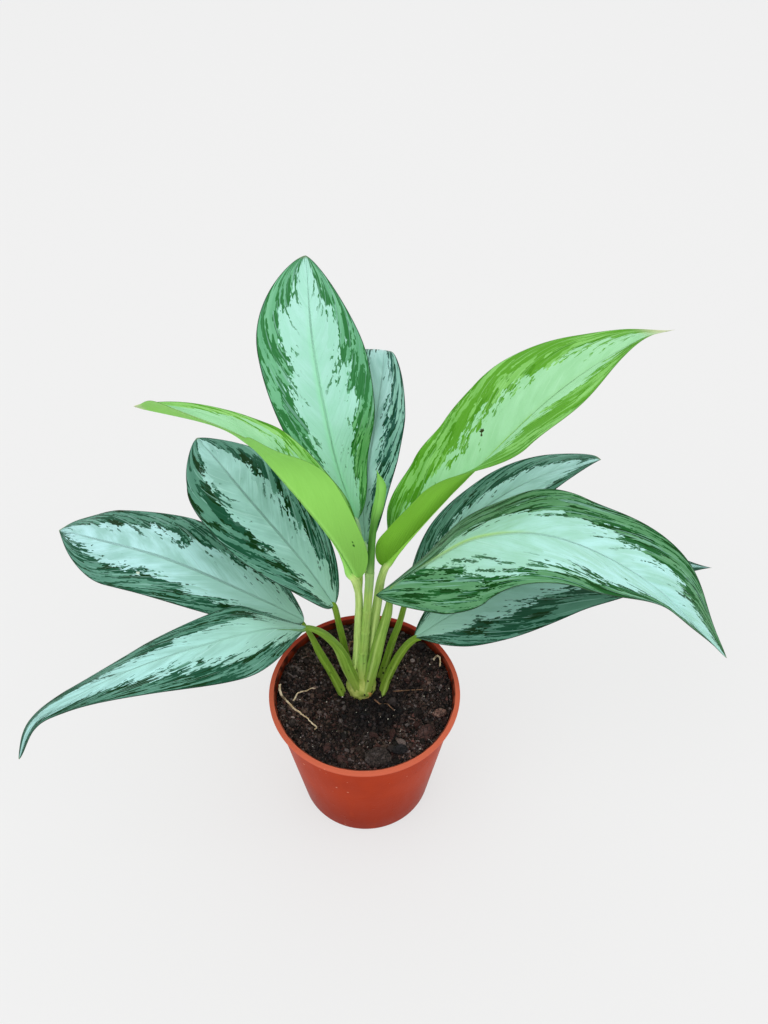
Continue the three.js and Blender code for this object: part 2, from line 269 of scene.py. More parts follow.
def split(value):
    return node("SeparateXYZ", {0: value}).outputs


def noise(place, scale=1.0, detail=2.0, roughness=0.5, output=0):
    sockets = {"Vector": place, "Scale": scale, "Detail": detail, "Roughness": roughness}
    return node("TexNoise", sockets).outputs[output]


def cells(place, scale=1.0, output="Color", feature="F1"):
    return node("TexVoronoi", {"Vector": place, "Scale": scale}, feature=feature).outputs[output]


# Round specks, one in each cell whose random number is high enough.
def specks(place, scale, chosenFrom, radius, fade=0.0, channel=0):
    chosen = above(split(cells(place, scale))[channel], chosenFrom)
    away = cells(place, scale, "Distance")
    return times(chosen, edge(away, radius, radius - fade) if fade else calc("LESS_THAN", away, radius))


def distance(place, point):
    return node("VectorMath", {0: place, 1: point}, operation="DISTANCE").outputs["Value"]


def attribute(name, output="Vector"):
    return node("Attribute", attribute_name=name).outputs[output]


def objectPlace():
    return node("TexCoord").outputs["Object"]


# The end of a material: its colour, its relief and, where it varies, its roughness.
def dressed(material, colour, height, relief, gloss=None):
    inputs = tree.nodes["Principled BSDF"].inputs
    tree.links.new(colour, inputs["Base Color"])
    tree.links.new(node("Bump", {"Height": height, "Distance": relief}).outputs[0], inputs["Normal"])
    if gloss:
        tree.links.new(gloss, inputs["Roughness"])
    return material


# Variegated leaf. Small cells laid along the lateral veins give every pattern its stepped edges: each cell
# reads the streaks, teeth and blotches at its own centre, and is silver, middle green, dark or deep as a whole.
def leafMaterial(name, look):
    material = newMaterial(name, specular=look["specular"])
    share, across, marginGap = split(attribute("leafPlace"))
    lateral, run, midribGap = split(attribute("leafVein"))
    upper = attribute("leafUpper", "Fac")
    reach = calc("ABSOLUTE", across)
    rightHalf = above(across, 0.0)
    seed = look["seed"]
    stepWidth, stepLength = look["step"]

    # Lateral veins crowd towards the margin, so the pattern is read at a coarser scale further out.
    sway = split(noise(vector(scaled(lateral, 0.35), scaled(run, 0.16), seed), output=1))
    breaks = noise(vector(scaled(lateral, 0.09), scaled(run, 0.04), seed + 31.0))
    outward = plus(reach, swing(breaks, 0.5))
    outerZone, rimZone = (above(outward, start) for start in look["zones"])
    spread = plus(scaled(outerZone, look["coarser"][0], 1.0), scaled(rimZone, look["coarser"][1]))
    vein = calc("DIVIDE", plus(lateral, scaled(outerZone, 400.0)), spread)
    cellPlace = vector(scaled(plus(vein, swing(sway[0], 3.0)), 1 / stepWidth),
                       scaled(plus(run, swing(sway[1], 6.0)), 1 / stepLength), seed)
    pick = split(cells(cellPlace))
    centre = split(cells(cellPlace, output="Position"))
    veinStep = scaled(centre[0], stepWidth)
    runStep = scaled(centre[1], stepLength)

    # Noise of the listed width and length: constant in each cell when stepped, or flowing along the veins.
    def drawn(key, offset, line, reading, **settings):
        wide, long = look[key]
        return noise(vector(scaled(line, 1 / wide), scaled(reading, 1 / long), seed + offset), **settings)

    def stepped(key, offset, **settings):
        return drawn(key, offset, veinStep, runStep, **settings)

    def flowing(key, offset, **settings):
        return drawn(key, offset, vein, run, **settings)

    streak = stepped("streak", 7.7, roughness=0.45)
    tooth = stepped("tooth", 4.4, roughness=0.6)
    blotch = stepped("blotch", 11.3, detail=1.0)
    broad = stepped("broad", 2.9, detail=0.0)
    thread = flowing("thread", 15.9)
    hair = flowing("hair", 21.0, detail=3.0)
    cloud = flowing("cloud", 1.0, detail=3.0)

    # The silver reaches from the midrib to a limit that wanders; inside is how far within it a place is.
    left, right = look["silver"]
    limit = times(scaled(rightHalf, right - left, left), scaled(edge(share, 0.72, 1.0), -look["tipNarrow"], 1.0))
    limit = plus(limit, edge(share, look["baseTo"], 0.0, most=look["baseWiden"]))
    ragged = plus(reach, swing(pick[0], look["ragged"]), swing(tooth, look["teeth"]), swing(broad, look["wander"]))
    inside = calc("SUBTRACT", limit, ragged)
    silver = edge(inside, -0.01, 0.01)
    darkness = plus(streak, swing(pick[1], 0.08), edge(inside, -0.30, -0.02, most=look["rimDark"]),
                    edge(marginGap, 2.6, 0.6, most=look["marginDark"]))
    dark = edge(darkness, look["darkFrom"] - 0.01, look["darkFrom"] + 0.01)
    flecks = times(edge(plus(streak, swing(pick[2], 0.10)), look["fleckFrom"], look["fleckFrom"] + 0.015),
                   edge(inside, 0.30, 0.16))
    deepness = plus(blotch, swing(pick[2], 0.07), scaled(share, -look["deepFade"]))
    deep = edge(deepness, look["deepFrom"] - 0.02, look["deepFrom"] + 0.02)
    light = edge(thread, look["threadFrom"], look["threadFrom"] + 0.04)

    clouded = edge(cloud, 0.3, 0.7)
    darkTone = layered(look["dark"], (deep, look["deep"]), (edge(hair, 0.5, 0.8, most=0.35), look["midShade"]))
    outer = layered(look["mid"], (clouded, look["midShade"]), (dark, darkTone),
                    (scaled(light, look["threadShare"]), look["light"]))
    warmth = times(edge(share, 0.5, 0.25), scaled(rightHalf, look["warmRight"]))
    outer = blend(warmth, outer, look["warmTint"], "MULTIPLY")
    inner = layered(look["silverTone"], (clouded, look["silverShade"]),
                    (edge(share, 0.5, 0.0), look["silverBase"]),
                    (edge(hair, 0.45, 0.75, most=0.4), look["silverShade"]),
                    (edge(thread, 0.62, 0.72, most=0.3), look["gleam"]),
                    (scaled(flecks, look["fleckShare"]), darkTone))

    # Lines along the lateral veins, the midrib with a glow beside it, and the margin.
    ribs = calc("ABSOLUTE", calc("SINE", scaled(lateral, math.pi / look["veinStep"])))
    ribLine = times(edge(ribs, 0.25, 0.0), edge(reach, 0.9, 0.2), edge(cloud, 0.35, 0.65))
    begun = edge(share, *look["ribStart"])
    glow = times(edge(midribGap, look["glowWidth"], 0.0), edge(share, *look["glowSpan"]), begun)
    midribWidth = scaled(share, -0.6 * look["midribWidth"], look["midribWidth"])
    midrib = times(edge(calc("DIVIDE", midribGap, midribWidth), 1.0, 0.3),
                   edge(share, *look["midribSpan"], most=look["midribShare"]), begun)
    top = layered(outer, (silver, inner), (scaled(ribLine, 0.10), look["ribTone"]),
                  (scaled(glow, look["glowShare"]), look["glow"]), (midrib, look["midribTone"]),
                  (edge(marginGap, look["marginWidth"], 0.1, most=0.8), look["marginTone"]))
    # On the under side, the keelShade coat is painted shade that darkens the blade near the midrib.
    under = layered(look["under"], (cloud, look["underShade"]), (edge(share, 0.45, 0.0), look["underBase"]),
                    (edge(midribGap, 11.0, 1.0, most=look["keelShade"]), look["keelShadeTone"]),
                    (scaled(ribLine, 0.3), look["underRib"]), (scaled(glow, look["underGlow"]), look["underRib"]))
    colour = blend(upper, under, top)

    length, width = look["spotGrid"]
    for at, side, size, spotTone in look["spots"]:
        fromSpot = vector(scaled(share, length, -length * at), scaled(across, width, -width * side))
        away = node("VectorMath", {0: fromSpot}, operation="LENGTH").outputs["Value"]
        rough = noise(objectPlace(), scale=700.0)
        colour = blend(edge(plus(away, swing(rough, size * 2.4)), size, size * 0.7), colour, spotTone)
    colour = blend(edge(share, look["tipFrom"], look["tipTo"]), colour, look["tip"])

    gloss = plus(scaled(cloud, 0.22, 0.30), scaled(upper, -0.08, 0.08))
    swell = times(scaled(ribs, 0.25), edge(reach, 1.0, 0.5))
    pores = noise(objectPlace(), scale=1500.0)
    height = plus(swell, scaled(hair, 0.4), scaled(thread, 0.5), scaled(pores, 0.1))
    return dressed(material, colour, height, look["relief"], gloss)


# Widths along a vein and lengths across it are in mm, shares run from 0 to 1 and colours from 0 to 255.
matureLook = dict(
    seed=1.0, step=(1.7, 2.8), streak=(5.4, 40.0), tooth=(9.0, 24.0), blotch=(15.0, 34.0), silver=(0.50, 0.50),
    zones=(0.42, 0.74), ragged=0.09, teeth=0.75, wander=0.30, tipNarrow=0.35, baseWiden=0.12, baseTo=0.25,
    rimDark=0.12, marginDark=0.05, darkFrom=0.52, fleckFrom=0.62, fleckShare=0.9, deepFrom=0.50, deepFade=0.10,
    threadFrom=0.59, threadShare=0.5, silverTone=(180, 228, 224), silverShade=(154, 204, 196),
    silverBase=(154, 204, 184), gleam=(200, 242, 238), mid=(98, 152, 132), midShade=(80, 134, 114),
    light=(146, 198, 184), dark=(24, 80, 56), deep=(2, 50, 8), veinStep=7.0, ribTone=(132, 184, 168),
    glow=(160, 212, 194), glowWidth=3.0, glowShare=0.25, glowSpan=(1.0, 0.5), specular=0.10, midribWidth=0.32,
    midribShare=0.40, midribSpan=(0.85, 0.3), midribTone=(92, 142, 112), marginWidth=0.6,
    marginTone=(44, 58, 48), under=(120, 168, 126), underShade=(104, 154, 114), underBase=(112, 160, 110),
    underRib=(144, 188, 146), tipFrom=0.985, tipTo=1.0, tip=(126, 152, 116), warmRight=0.0,
    warmTint=(0.9, 1.0, 0.42, 1.0), ribStart=(-0.02, -0.01), underGlow=0.6, keelShade=0.0,
    keelShadeTone=(92, 150, 30), coarser=(0.30, 0.65), broad=(40.0, 70.0), thread=(2.6, 60.0), hair=(1.3, 55.0),
    cloud=(14.0, 30.0), relief=0.0004, spots=[], spotGrid=(1, 1))
youngLook = dict(
    matureLook, step=(1.8, 3.2), streak=(8.0, 44.0), silverTone=(164, 222, 172), silverShade=(152, 212, 158),
    silverBase=(150, 212, 146), gleam=(184, 234, 192), mid=(136, 202, 104), midShade=(118, 186, 86),
    light=(158, 218, 142), dark=(90, 160, 40), deep=(72, 142, 18), ribTone=(130, 198, 120),
    midribTone=(132, 200, 112), midribShare=0.3, glow=(144, 206, 124), marginTone=(96, 136, 66),
    marginWidth=0.4, rimDark=0.07, threadShare=0.35, deepFrom=0.50, tipFrom=0.93, tip=(224, 236, 186))

bladeForm = dict(
    thickness=0.5, curl=-10, rows=150, columns=26, veinSlant=0.25, veinBend=0.8, fullFrom=5.0, lobeFade=12,
    waveCount=2.8, groove=0.13, grooveWidth=0.8, quilt=0.05, drift=0.8, crowding=1.25, grooveFade=0.7,
    edgeShare=0.25, edgeThin=0.35, edgeRound=0.45, driftSteps=(4, 1.4))

# The midrib runs from the base of a blade to its tip. A half has its full width at the widest share; start and
# end say how bluntly it opens and closes, and fold holds its angles to the horizontal along the midrib.
leaves = [
    dict(name="top",
         midrib=[[-4, 43, 214], [-14, 58, 239], [-21, 72, 268], [-28, 92, 309], [-30, 114, 349]],
         left=dict(width=30.5, widest=0.68, start=0.85, end=0.65, fold=[25, 10, 5]),
         right=dict(width=30.5, widest=0.55, start=0.65, end=0.8, fold=[25, 0, 14, 8, 6, 5]),
         stalk=[[-4.2, 15.2, 99], [-4.6, 22, 120.6], [-3.6, 29.6, 145.8], [-2.4, 37.4, 174.2], [-2.2, 40.6, 197]],
         radii=[2.6, 2.2, 1.9, 1.8], skin="pale",
         look=dict(matureLook, seed=1.3, silver=(0.54, 0.52), darkFrom=0.53, deepFrom=0.60, deepFade=0.35,
                   warmRight=0.8, silverTone=(184, 238, 224), silverShade=(170, 230, 208),
                   silverBase=(158, 226, 184), mid=(124, 194, 150), midShade=(100, 172, 126),
                   dark=(50, 122, 64), deep=(28, 92, 10), glow=(160, 240, 190), glowWidth=3.4, glowShare=0.6,
                   midribTone=(164, 236, 184), midribWidth=0.6, midribShare=0.35)),
    dict(name="top_back",
         midrib=[[1, 44, 191], [0, 58, 215], [4, 73, 239], [8, 86, 261], [11, 98, 278.5], [12, 111, 284],
                 [13, 131, 268]],
         left=dict(width=23, widest=0.5, start=0.65, end=0.8, fold=[20, 10, 5]),
         right=dict(width=18.5, widest=0.51, start=0.53, end=1.95, fold=[20, 15, -6]),
         stalk=[[0.6, 15.2, 99], [1.6, 23.4, 120.6], [2.2, 30.6, 145.8], [2.4, 37.6, 168.6]],
         radii=[2.6, 2.1, 1.8, 1.7], skin="pale",
         look=dict(matureLook, seed=2.6, silver=(0.50, 0.34), darkFrom=0.51, teeth=0.9,
                   silverTone=(180, 226, 220), mid=(146, 200, 182), midShade=(116, 170, 154), dark=(34, 86, 72),
                   deep=(8, 62, 36))),
    dict(name="right_young",
         midrib=[[12, 25, 194], [27, 26, 218], [58, 37, 255.5], [104, 61, 296], [148, 85, 313], [177, 106, 305]],
         left=dict(width=44.2, widest=0.55, start=0.62, end=1.9, fold=[26, 33, 17, 5, 2, -1, 1, 5.5, 10]),
         right=dict(width=26.7, widest=0.49, start=0.43, end=3, fold=[104, 85, 35, 3, 22]),
         stalk=[[3.4, 11.2, 99], [4.8, 20, 121.8], [6.2, 23.2, 141.2], [8.2, 25.2, 159.4], [10, 26.2, 177.6]],
         radii=[3.0, 3.1, 2.8, 2.3], tuck=0.4, skin="young",
         look=dict(youngLook, seed=3.9, silver=(0.50, 0.30), darkFrom=0.50, tipFrom=0.86, tipTo=0.96,
                   spots=[(0.435, -0.364, 1.5, (44, 54, 16)), (0.428, -0.325, 1.0, (50, 60, 20))],
                   under=(146, 212, 76), underShade=(122, 186, 54), underBase=(122, 188, 52),
                   # keelShade here is painted shade along the keel of this folded under side.
                   underRib=(152, 214, 88), keelShade=0.85, underGlow=0.0, spotGrid=(235, 44))),
    dict(name="left_young",
         midrib=[[-4, 19, 191], [-18, 23, 222], [-49, 40, 260], [-63, 49, 271], [-83, 57, 278], [-130, 79, 271]],
         left=dict(width=31.6, widest=0.73, start=0.48, end=1.2, fold=[94, 110, 55, 70]),
         right=dict(width=21.6, widest=0.3, start=1.3, end=0.74, fold=[70, 52, 0, 33]),
         stalk=[[-6.8, 11, 99], [-4.8, 17, 120.6], [-3.2, 20.4, 148], [-2.8, 21.4, 172]],
         radii=[2.8, 2.3, 2.3, 2.6], skin="young",
         look=dict(youngLook, seed=4.2, silver=(0.72, 0.70), darkFrom=0.60, mid=(150, 212, 118),
                   midShade=(132, 198, 98),
                   spots=[(0.140, -0.576, 1.1, (30, 84, 14)), (0.152, -0.600, 0.8, (44, 100, 20))],
                   under=(156, 226, 106), underShade=(144, 214, 94), underBase=(126, 186, 78),
                   underRib=(164, 230, 116), spotGrid=(182, 32))),
    dict(name="left_back",
         midrib=[[-18, 25, 157], [-36, 37, 182], [-71, 65, 212], [-87, 86, 216], [-104, 112, 214]],
         left=dict(width=31.2, widest=0.55, start=0.49, end=0.74, fold=[34, 2, -4]),
         right=dict(width=31.8, widest=0.6, start=0.58, end=0.8, fold=[22, 6, 5]),
         stalk=[[-9, 21.6, 93.3], [-12, 24.6, 103.6], [-13.8, 25.4, 120.6], [-15.8, 25.4, 137.8]],
         radii=[2.2, 2.0, 1.9], skin="dark",
         look=dict(matureLook, seed=5.5, silver=(0.46, 0.50), silverTone=(168, 218, 210),
                   silverShade=(142, 192, 180))),
    dict(name="left_middle",
         midrib=[[-37, 24, 143], [-62, 25, 162], [-116, 36, 186], [-170, 64, 174], [-195, 82, 161]],
         left=dict(width=25.8, widest=0.66, start=0.47, end=0.95, fold=[-15, -10, -28]),
         right=dict(width=38.2, widest=0.44, start=0.68, end=0.4, fold=[19, -1, 5]),
         stalk=[[-15, 5, 93.3], [-21, 11.6, 104.8], [-27.8, 16.4, 118.4], [-32.8, 20.2, 131]],
         radii=[2.6, 2.4, 1.1], knee=1.8, kneeDrop=1.6, skin="dark",
         # Here silverTone is the silver lifted towards bluish white, partly a painted sky reflection.
         look=dict(matureLook, seed=6.8, silver=(0.50, 0.54), silverTone=(188, 236, 238), midribShare=0.35,
                   spots=[(0.565, -0.525, 1.3, (196, 214, 196))], spotGrid=(188, 26))),
    dict(name="left_low",
         midrib=[[-34, 14, 150], [-64, -12, 179], [-122, -35, 180], [-173, -40, 149], [-195, -42, 128],
                 [-207, -49, 102]],
         left=dict(width=24.1, widest=0.27, start=0.96, end=3.5, tail=0.22, fold=[-52, -5, -27]),
         right=dict(width=24.1, widest=0.21, start=0.98, end=3.4, tail=0.45, fold=[6, -10, 10]),
         stalk=[[-5, 5.8, 99], [-11, 10.8, 113.8], [-15.8, 13.4, 127.6], [-21.8, 14.6, 137.8],
                [-27.6, 13.8, 145.8]],
         radii=[3.7, 3.9, 2.5, 1.8], skin="low",
         # Here silverTone is the silver lifted towards bluish white, partly a painted sky reflection.
         look=dict(matureLook, seed=7.1, silver=(0.48, 0.54), silverTone=(184, 240, 236), midribShare=0.2)),
    dict(name="right_back",
         midrib=[[26, 38, 146], [52, 58, 183], [82, 72, 203], [113, 86, 210], [147, 102, 205]],
         left=dict(width=19.5, widest=0.56, start=0.77, end=0.4, fold=[18, 4, -6]),
         right=dict(width=21.5, widest=0.44, start=0.7, end=1.1, fold=[20, 5, 14]),
         stalk=[[10.4, 15.6, 93.3], [14, 22.6, 103.6], [18, 28.4, 117.2], [22, 32.2, 129.8]],
         radii=[2.3, 2.1, 1.8], skin="dark",
         look=dict(matureLook, seed=8.4, silver=(0.35, 0.64), deepFrom=0.55)),
    dict(name="right_front",
         midrib=[[8.4, 19, 176.4], [34, 18, 203], [66, 18, 229], [109, 12, 235], [165, 7, 200], [221, 2, 134]],
         left=dict(width=34, widest=0.41, start=1.6, end=0.81, fold=[-19, -9, 12, 50, 22]),
         right=dict(width=38, widest=0.28, start=0.61, end=1.95, fold=[-49, -20, 10, 2, 52], lobe=2, wave=4),
         stalk=[[2, 5.4, 99], [6.2, 11.4, 117.2], [9.8, 16.4, 135.4], [14.4, 20.8, 156]],
         radii=[3.4, 3.7, 3.0, 1.3], attach=0.034, knee=1.0, kneeDrop=2.2, skin="middle",
         # Here silverTone is the silver lifted towards bluish white, partly a painted sky reflection.
         look=dict(matureLook, seed=9.7, silver=(0.50, 0.70), baseWiden=-0.95, baseTo=0.34,
                   silverTone=(190, 242, 238), silverShade=(168, 222, 204), silverBase=(156, 208, 172),
                   mid=(104, 162, 116), midShade=(84, 144, 96), dark=(28, 94, 40), deep=(6, 66, 8),
                   glow=(186, 230, 150), glowWidth=2.2, glowShare=0.8, glowSpan=(0.42, 0.28),
                   midribTone=(176, 222, 130), midribWidth=0.6, midribSpan=(0.42, 0.30),
                   ribStart=(0.10, 0.22))),
    dict(name="right_low",
         midrib=[[31, 19, 132], [54, 20, 155], [83, 25, 172], [153, 38, 184], [214, 47, 166]],
         left=dict(width=29.5, widest=0.4, start=0.6, end=1.3, fold=[20, 8, 5]),
         right=dict(width=39, widest=0.34, start=1.07, end=1.3, fold=[10, 15, -50]),
         stalk=[[12, 6, 93.3], [14.6, 11.6, 99], [20, 17.6, 109.2], [26, 19.6, 121.8]],
         radii=[2.5, 2.5, 2.1], skin="dark",
         look=dict(matureLook, seed=10.2, silver=(0.50, 0.50), darkFrom=0.50, midribShare=0.4)),
]


# Share of a half's full width: a power of a sine up to the widest place, then powers of a cosine to the tip.
def outline(half, share):
    rise = np.sin(np.pi / 2 * np.clip(share / half["widest"], 0, 1)) ** half["start"]
    fall = np.cos(np.pi / 2 * np.clip((share - half["widest"]) / (1 - half["widest"]), 0, 1))
    tail = half.get("tail", 0)
    fall = (1 - tail) * fall ** half["end"] + tail * fall**0.5
    return np.where(share < half["widest"], rise, fall)


# Half a blade is an arc that leaves the midrib at the fold angle and bends by the curl:
# out = width / curl * (sin(angle) - sin(fold)), rise = width / curl * (cos(fold) - cos(angle)).
# The upper side then gets a groove over the midrib, a swelling between veins and a slow drift.
def halfBlade(leaf, hand, half, u, base, along, length):
    form = bladeForm
    side = unit(np.cross(along, upward))
    normal = np.cross(side, along)
    t = 1 - (1 - np.linspace(0, 1, form["columns"] + 1)) ** form["crowding"]
    width = half["width"] * outline(half, u)
    curl = math.radians(form["curl"])
    fold = np.radians(between(half["fold"], u))
    angle = fold + curl * t
    out = width / curl * (np.sin(angle) - np.sin(fold))
    ripple = half.get("wave", 0) * np.cos(2 * np.pi * form["waveCount"] * u) * np.sin(np.pi * u) * t * t
    rise = width / curl * (np.cos(fold) - np.cos(angle)) + ripple
    back = half.get("lobe", 0) * t**3 * (1 - u) ** form["lobeFade"]
    top = base + side * (hand * out)[..., None] + normal * rise[..., None] - along * back[..., None]
    face = normal * np.cos(angle)[..., None] - side * (hand * np.sin(angle))[..., None]

    gap = width * t
    vein = length * (u + form["veinSlant"] * np.log(1 - form["veinBend"] * t) / form["veinBend"])
    full = smooth(0, form["fullFrom"], width)
    groove = -form["groove"] * np.exp(-((gap / form["grooveWidth"]) ** 2)) * (1 - form["grooveFade"] * u) * full
    cushion = np.abs(np.sin(np.pi * (vein + 3 * hand) / leaf["look"]["veinStep"]))
    quilt = form["quilt"] * cushion * (1 - t) * smooth(0, 3, gap) * full
    alongSteps, acrossSteps = form["driftSteps"]
    slow = fieldOf(u * alongSteps, t * acrossSteps, hand * 3.0)
    drift = form["drift"] * lattice(slow, int(leaf["look"]["seed"] * 10)) * t * full
    top = top + face * (groove + quilt + drift)[..., None]
    edgeShare = form["edgeShare"] + width / form["fullFrom"] * (1 - form["edgeShare"])
    thick = form["thickness"] * np.minimum(1, edgeShare) * np.minimum(1, width)
    under = top - face * thick[..., None] * (1 - form["edgeThin"] * t[:, None])
    veinSet = 300 * (hand > 0)  # keeps the two halves apart in the patterns
    return top, under, fieldOf(u, hand * t, width * (1 - t)), fieldOf(vein + veinSet, length * u + gap, gap)


# A blade as rings from base to tip: over the upper side, round the margin and back along the under side.
def bladeRings(leaf):
    share = (0.5 - 0.5 * np.cos(np.pi * np.linspace(0, 1, bladeForm["rows"])))[1:-1]
    base, along, length = alongCurve(leaf["midrib"], share)
    halves = [halfBlade(leaf, hand, leaf[side], share[:, None], base[:, None], along[:, None], length)
              for hand, side in ((-1, "left"), (1, "right"))]
    top, under, place, vein = (np.concatenate([left[:, ::-1], right[:, 1:]], axis=1)
                               for left, right in zip(*halves))
    rims = []
    for margin, inward in ((0, 1), (-1, -2)):
        middle = (top[:, margin] + under[:, margin]) / 2
        outward = unit(top[:, margin] - top[:, inward])
        thick = np.linalg.norm(top[:, margin] - under[:, margin], axis=1)[:, None]
        rims.append((middle + outward * thick * bladeForm["edgeRound"])[:, None])

    def around(upper, lower):
        return np.concatenate([upper, upper[:, -1:], lower[:, ::-1], upper[:, :1]], axis=1)

    isUpper = np.ones(place.shape[:2])
    values = dict(leafPlace=around(place, place), leafVein=around(vein, vein),
                  leafUpper=around(isUpper, 0 * isUpper))
    return np.concatenate([top, rims[1], under[:, ::-1], rims[0]], axis=1), values


for leaf in leaves:
    rings, values = bladeRings(leaf)
    addRings("blade_" + leaf["name"], rings, leafMaterial("leaf_" + leaf["name"], leaf["look"]), values)
print("blades made")


stalkForm = dict(
    columns=28, rows=150, groove=0.16, grooveWidth=0.55, wing=0.30, wingTurn=1.0, wingWidth=0.28,
    wingSpan=(0.42, 0.08), attach=0.012, keelRows=16, keelStart=0.008, keelEnd=0.55, keelRadius=0.3,
    keelFade=7.0, keelGap=0.28, keelBlend=(-0.03, 0.05), knee=3.5, kneeDrop=0.55, sink=6, lumps=0.10, lumpWidth=7)


# Rings of the given radii across a curve; turn 0 points to the inner side.
def carried(place, along, inner, radii):
    inner = unit(inner - along * np.sum(inner * along, axis=-1, keepdims=True))
    beside = np.cross(along, inner)
    turn = turns(radii.shape[1])[None, :, None]
    direction = inner[:, None] * np.cos(turn) + beside[:, None] * np.sin(turn)
    return place[:, None] + direction * radii[..., None]


# A bell round the stalk: 1 at its centre, then exp(-(turn / width)^2).
def bell(turn, centre, width):
    return np.exp(-((np.abs((turn - centre + np.pi) % (2 * np.pi) - np.pi) / width) ** 2))


# A stalk: round, with a shallow groove on its inner side, sheath wings low down, and a keel that runs on
# under the blade. radius = listed radius * (1 - groove * bell(turn) + wings).
def stalkRings(leaf):
    form = stalkForm

    def keelRadius(radius, share):
        return form["keelRadius"] + (radius - form["keelRadius"]) * (1 - share) ** form["keelFade"]

    attach = leaf.get("attach", form["attach"])
    start, direction = alongCurve(leaf["midrib"], [attach])[:2]
    keelRun = np.linspace(attach + form["keelStart"], form["keelEnd"], form["keelRows"])
    under, underAlong = alongCurve(leaf["midrib"], keelRun)[:2]
    normal = np.cross(unit(np.cross(underAlong, upward)), underAlong)
    drop = keelRadius(leaf["radii"][-1], np.linspace(0, 1, form["keelRows"])) + form["keelGap"]
    under = under - normal * drop[:, None] * leaf.get("tuck", 1.0)
    lower = np.array(leaf["stalk"], float)
    foot = lower[0] - unit(lower[1] - lower[0]) * form["sink"]
    kneeDrop = normal[:1] * leaf["radii"][-1] * leaf.get("kneeDrop", form["kneeDrop"])
    knee = start - direction * leaf.get("knee", form["knee"]) - kneeDrop

    share = np.linspace(0, 1, form["rows"])
    place, along, length = alongCurve(np.vstack([foot, lower, knee, under]), share)
    joint = alongCurve(np.vstack([foot, lower, start]), [0])[2] / length
    keel = np.clip((share - joint) / (1 - joint), 0, 1)
    radius = between(leaf["radii"], share / joint)
    radius = np.where(share < joint, radius, keelRadius(radius, keel))
    inner = unit(np.cross(unit(np.cross(place[-1] - place[0], upward)), place[-1] - place[0]))
    turn = turns(form["columns"])
    sheath = smooth(*form["wingSpan"], share)[:, None]
    groove = form["groove"] * bell(turn, 0, form["grooveWidth"])
    wings = sum(bell(turn, centre, form["wingWidth"]) for centre in (form["wingTurn"], -form["wingTurn"]))
    shape = 1 - groove * (1 + sheath) + form["wing"] * wings * sheath
    rings = carried(place, along, inner, radius[:, None] * shape)
    lumps = grains(rings / form["lumpWidth"], 5, 2)[..., None] * form["lumps"]
    rings += lumps * unit(rings - place[:, None])
    keelShare = (smooth(*form["keelBlend"], keel) * (share > joint))[:, None]
    return rings, dict(stalkPlace=fieldOf((share * length)[:, None], turn, sheath),
                       keelShare=np.broadcast_to(keelShare, rings.shape[:2]))


# Stalk skin: long streaks round the stalk, paler where the sheath is (darker, as painted shade, on the furled
# leaf), soil specks near the foot.
def stalkMaterial(name, look):
    material = newMaterial(name, specular=look["specular"])
    run, turn, sheath = split(attribute("stalkPlace"))
    streak = noise(vector(calc("SINE", turn), calc("COSINE", turn), scaled(run, 0.02)),
                   scale=look["streakScale"], detail=4.0, roughness=0.6)
    cloud = noise(objectPlace(), scale=90.0, detail=3.0)
    sheathEdge = edge(calc("SINE", scaled(turn, 2.0)), 0.7, 1.0, most=0.4)
    grit = times(specks(objectPlace(), 420.0, 0.86, 0.34), edge(run, look["gritTo"], 2.0))
    tone = layered(look["light"], (edge(streak, 0.38, 0.62), look["shade"]),
                   (scaled(cloud, 0.8, -0.1), look["yellow"]),
                   (edge(run, look["footFrom"], 4.0, most=0.8), look["foot"]),
                   (times(sheathEdge, sheath), look["sheath"]), (grit, look["grit"]),
                   (edge(run, look["topFrom"], look["topFrom"] + 20.0), look["topTone"]),
                   (attribute("keelShare", "Fac"), look["keel"]))
    return dressed(material, tone, plus(streak, scaled(grit, 0.6)), 0.0004, scaled(streak, 0.2, 0.34))


stalkLook = dict(
    specular=0.16, streakScale=3.2, light=(180, 214, 108), shade=(148, 182, 74), yellow=(196, 218, 116),
    foot=(188, 200, 108), sheath=(214, 226, 156), grit=(30, 24, 16), keel=(112, 158, 116), topTone=(112, 158, 80),
    footFrom=26.0, gritTo=40.0, topFrom=900.0)
middleLook = dict(
    stalkLook, light=(140, 182, 82), shade=(106, 150, 52), yellow=(156, 190, 84), foot=(146, 172, 74),
    sheath=(190, 208, 132))
skins = dict(
    # The pale skin's top tone is painted light: it brightens the top leaf's petiole where it stands in shadow.
    pale=dict(stalkLook, topFrom=78.0, topTone=(196, 232, 182)),
    young=dict(stalkLook, light=(200, 232, 140), shade=(168, 204, 104), yellow=(204, 230, 138)),
    middle=middleLook,
    low=dict(middleLook, light=(124, 164, 62), shade=(94, 132, 36), yellow=(136, 172, 66)),
    dark=dict(stalkLook, light=(126, 164, 54), shade=(94, 134, 32), yellow=(138, 170, 60), foot=(122, 150, 54),
              sheath=(160, 184, 96)))
shared = {key: stalkMaterial("stalk_" + key, skins[key]) for key in ("pale", "dark", "middle", "low")}
for leaf in leaves:
    rings, values = stalkRings(leaf)
    name = "stalk_" + leaf["name"]
    skin = shared.get(leaf["skin"]) or stalkMaterial(name, dict(skins["young"], keel=leaf["look"]["under"]))
    addRings(name, rings, skin, values)
print("stalks made")

stem = dict(
    path=[[-1.8, 11, 90], [-1.8, 11, 99], [-0.4, 17.8, 119.6], [1.2, 19.6, 145.8], [3, 18.8, 174.2],
          [4.2, 18.6, 196]],
    radii=[4.6, 3.4, 2.8, 2.5, 2.6, 2.6], columns=32, rows=120, nodes=(0.28, 0.46, 0.66), nodeWidth=0.007,
    nodeRise=0.35, ribs=3, ribRise=0.03,
    look=dict(stalkLook, light=(158, 204, 104), shade=(120, 170, 72), topFrom=84.0, topTone=(150, 188, 112)))


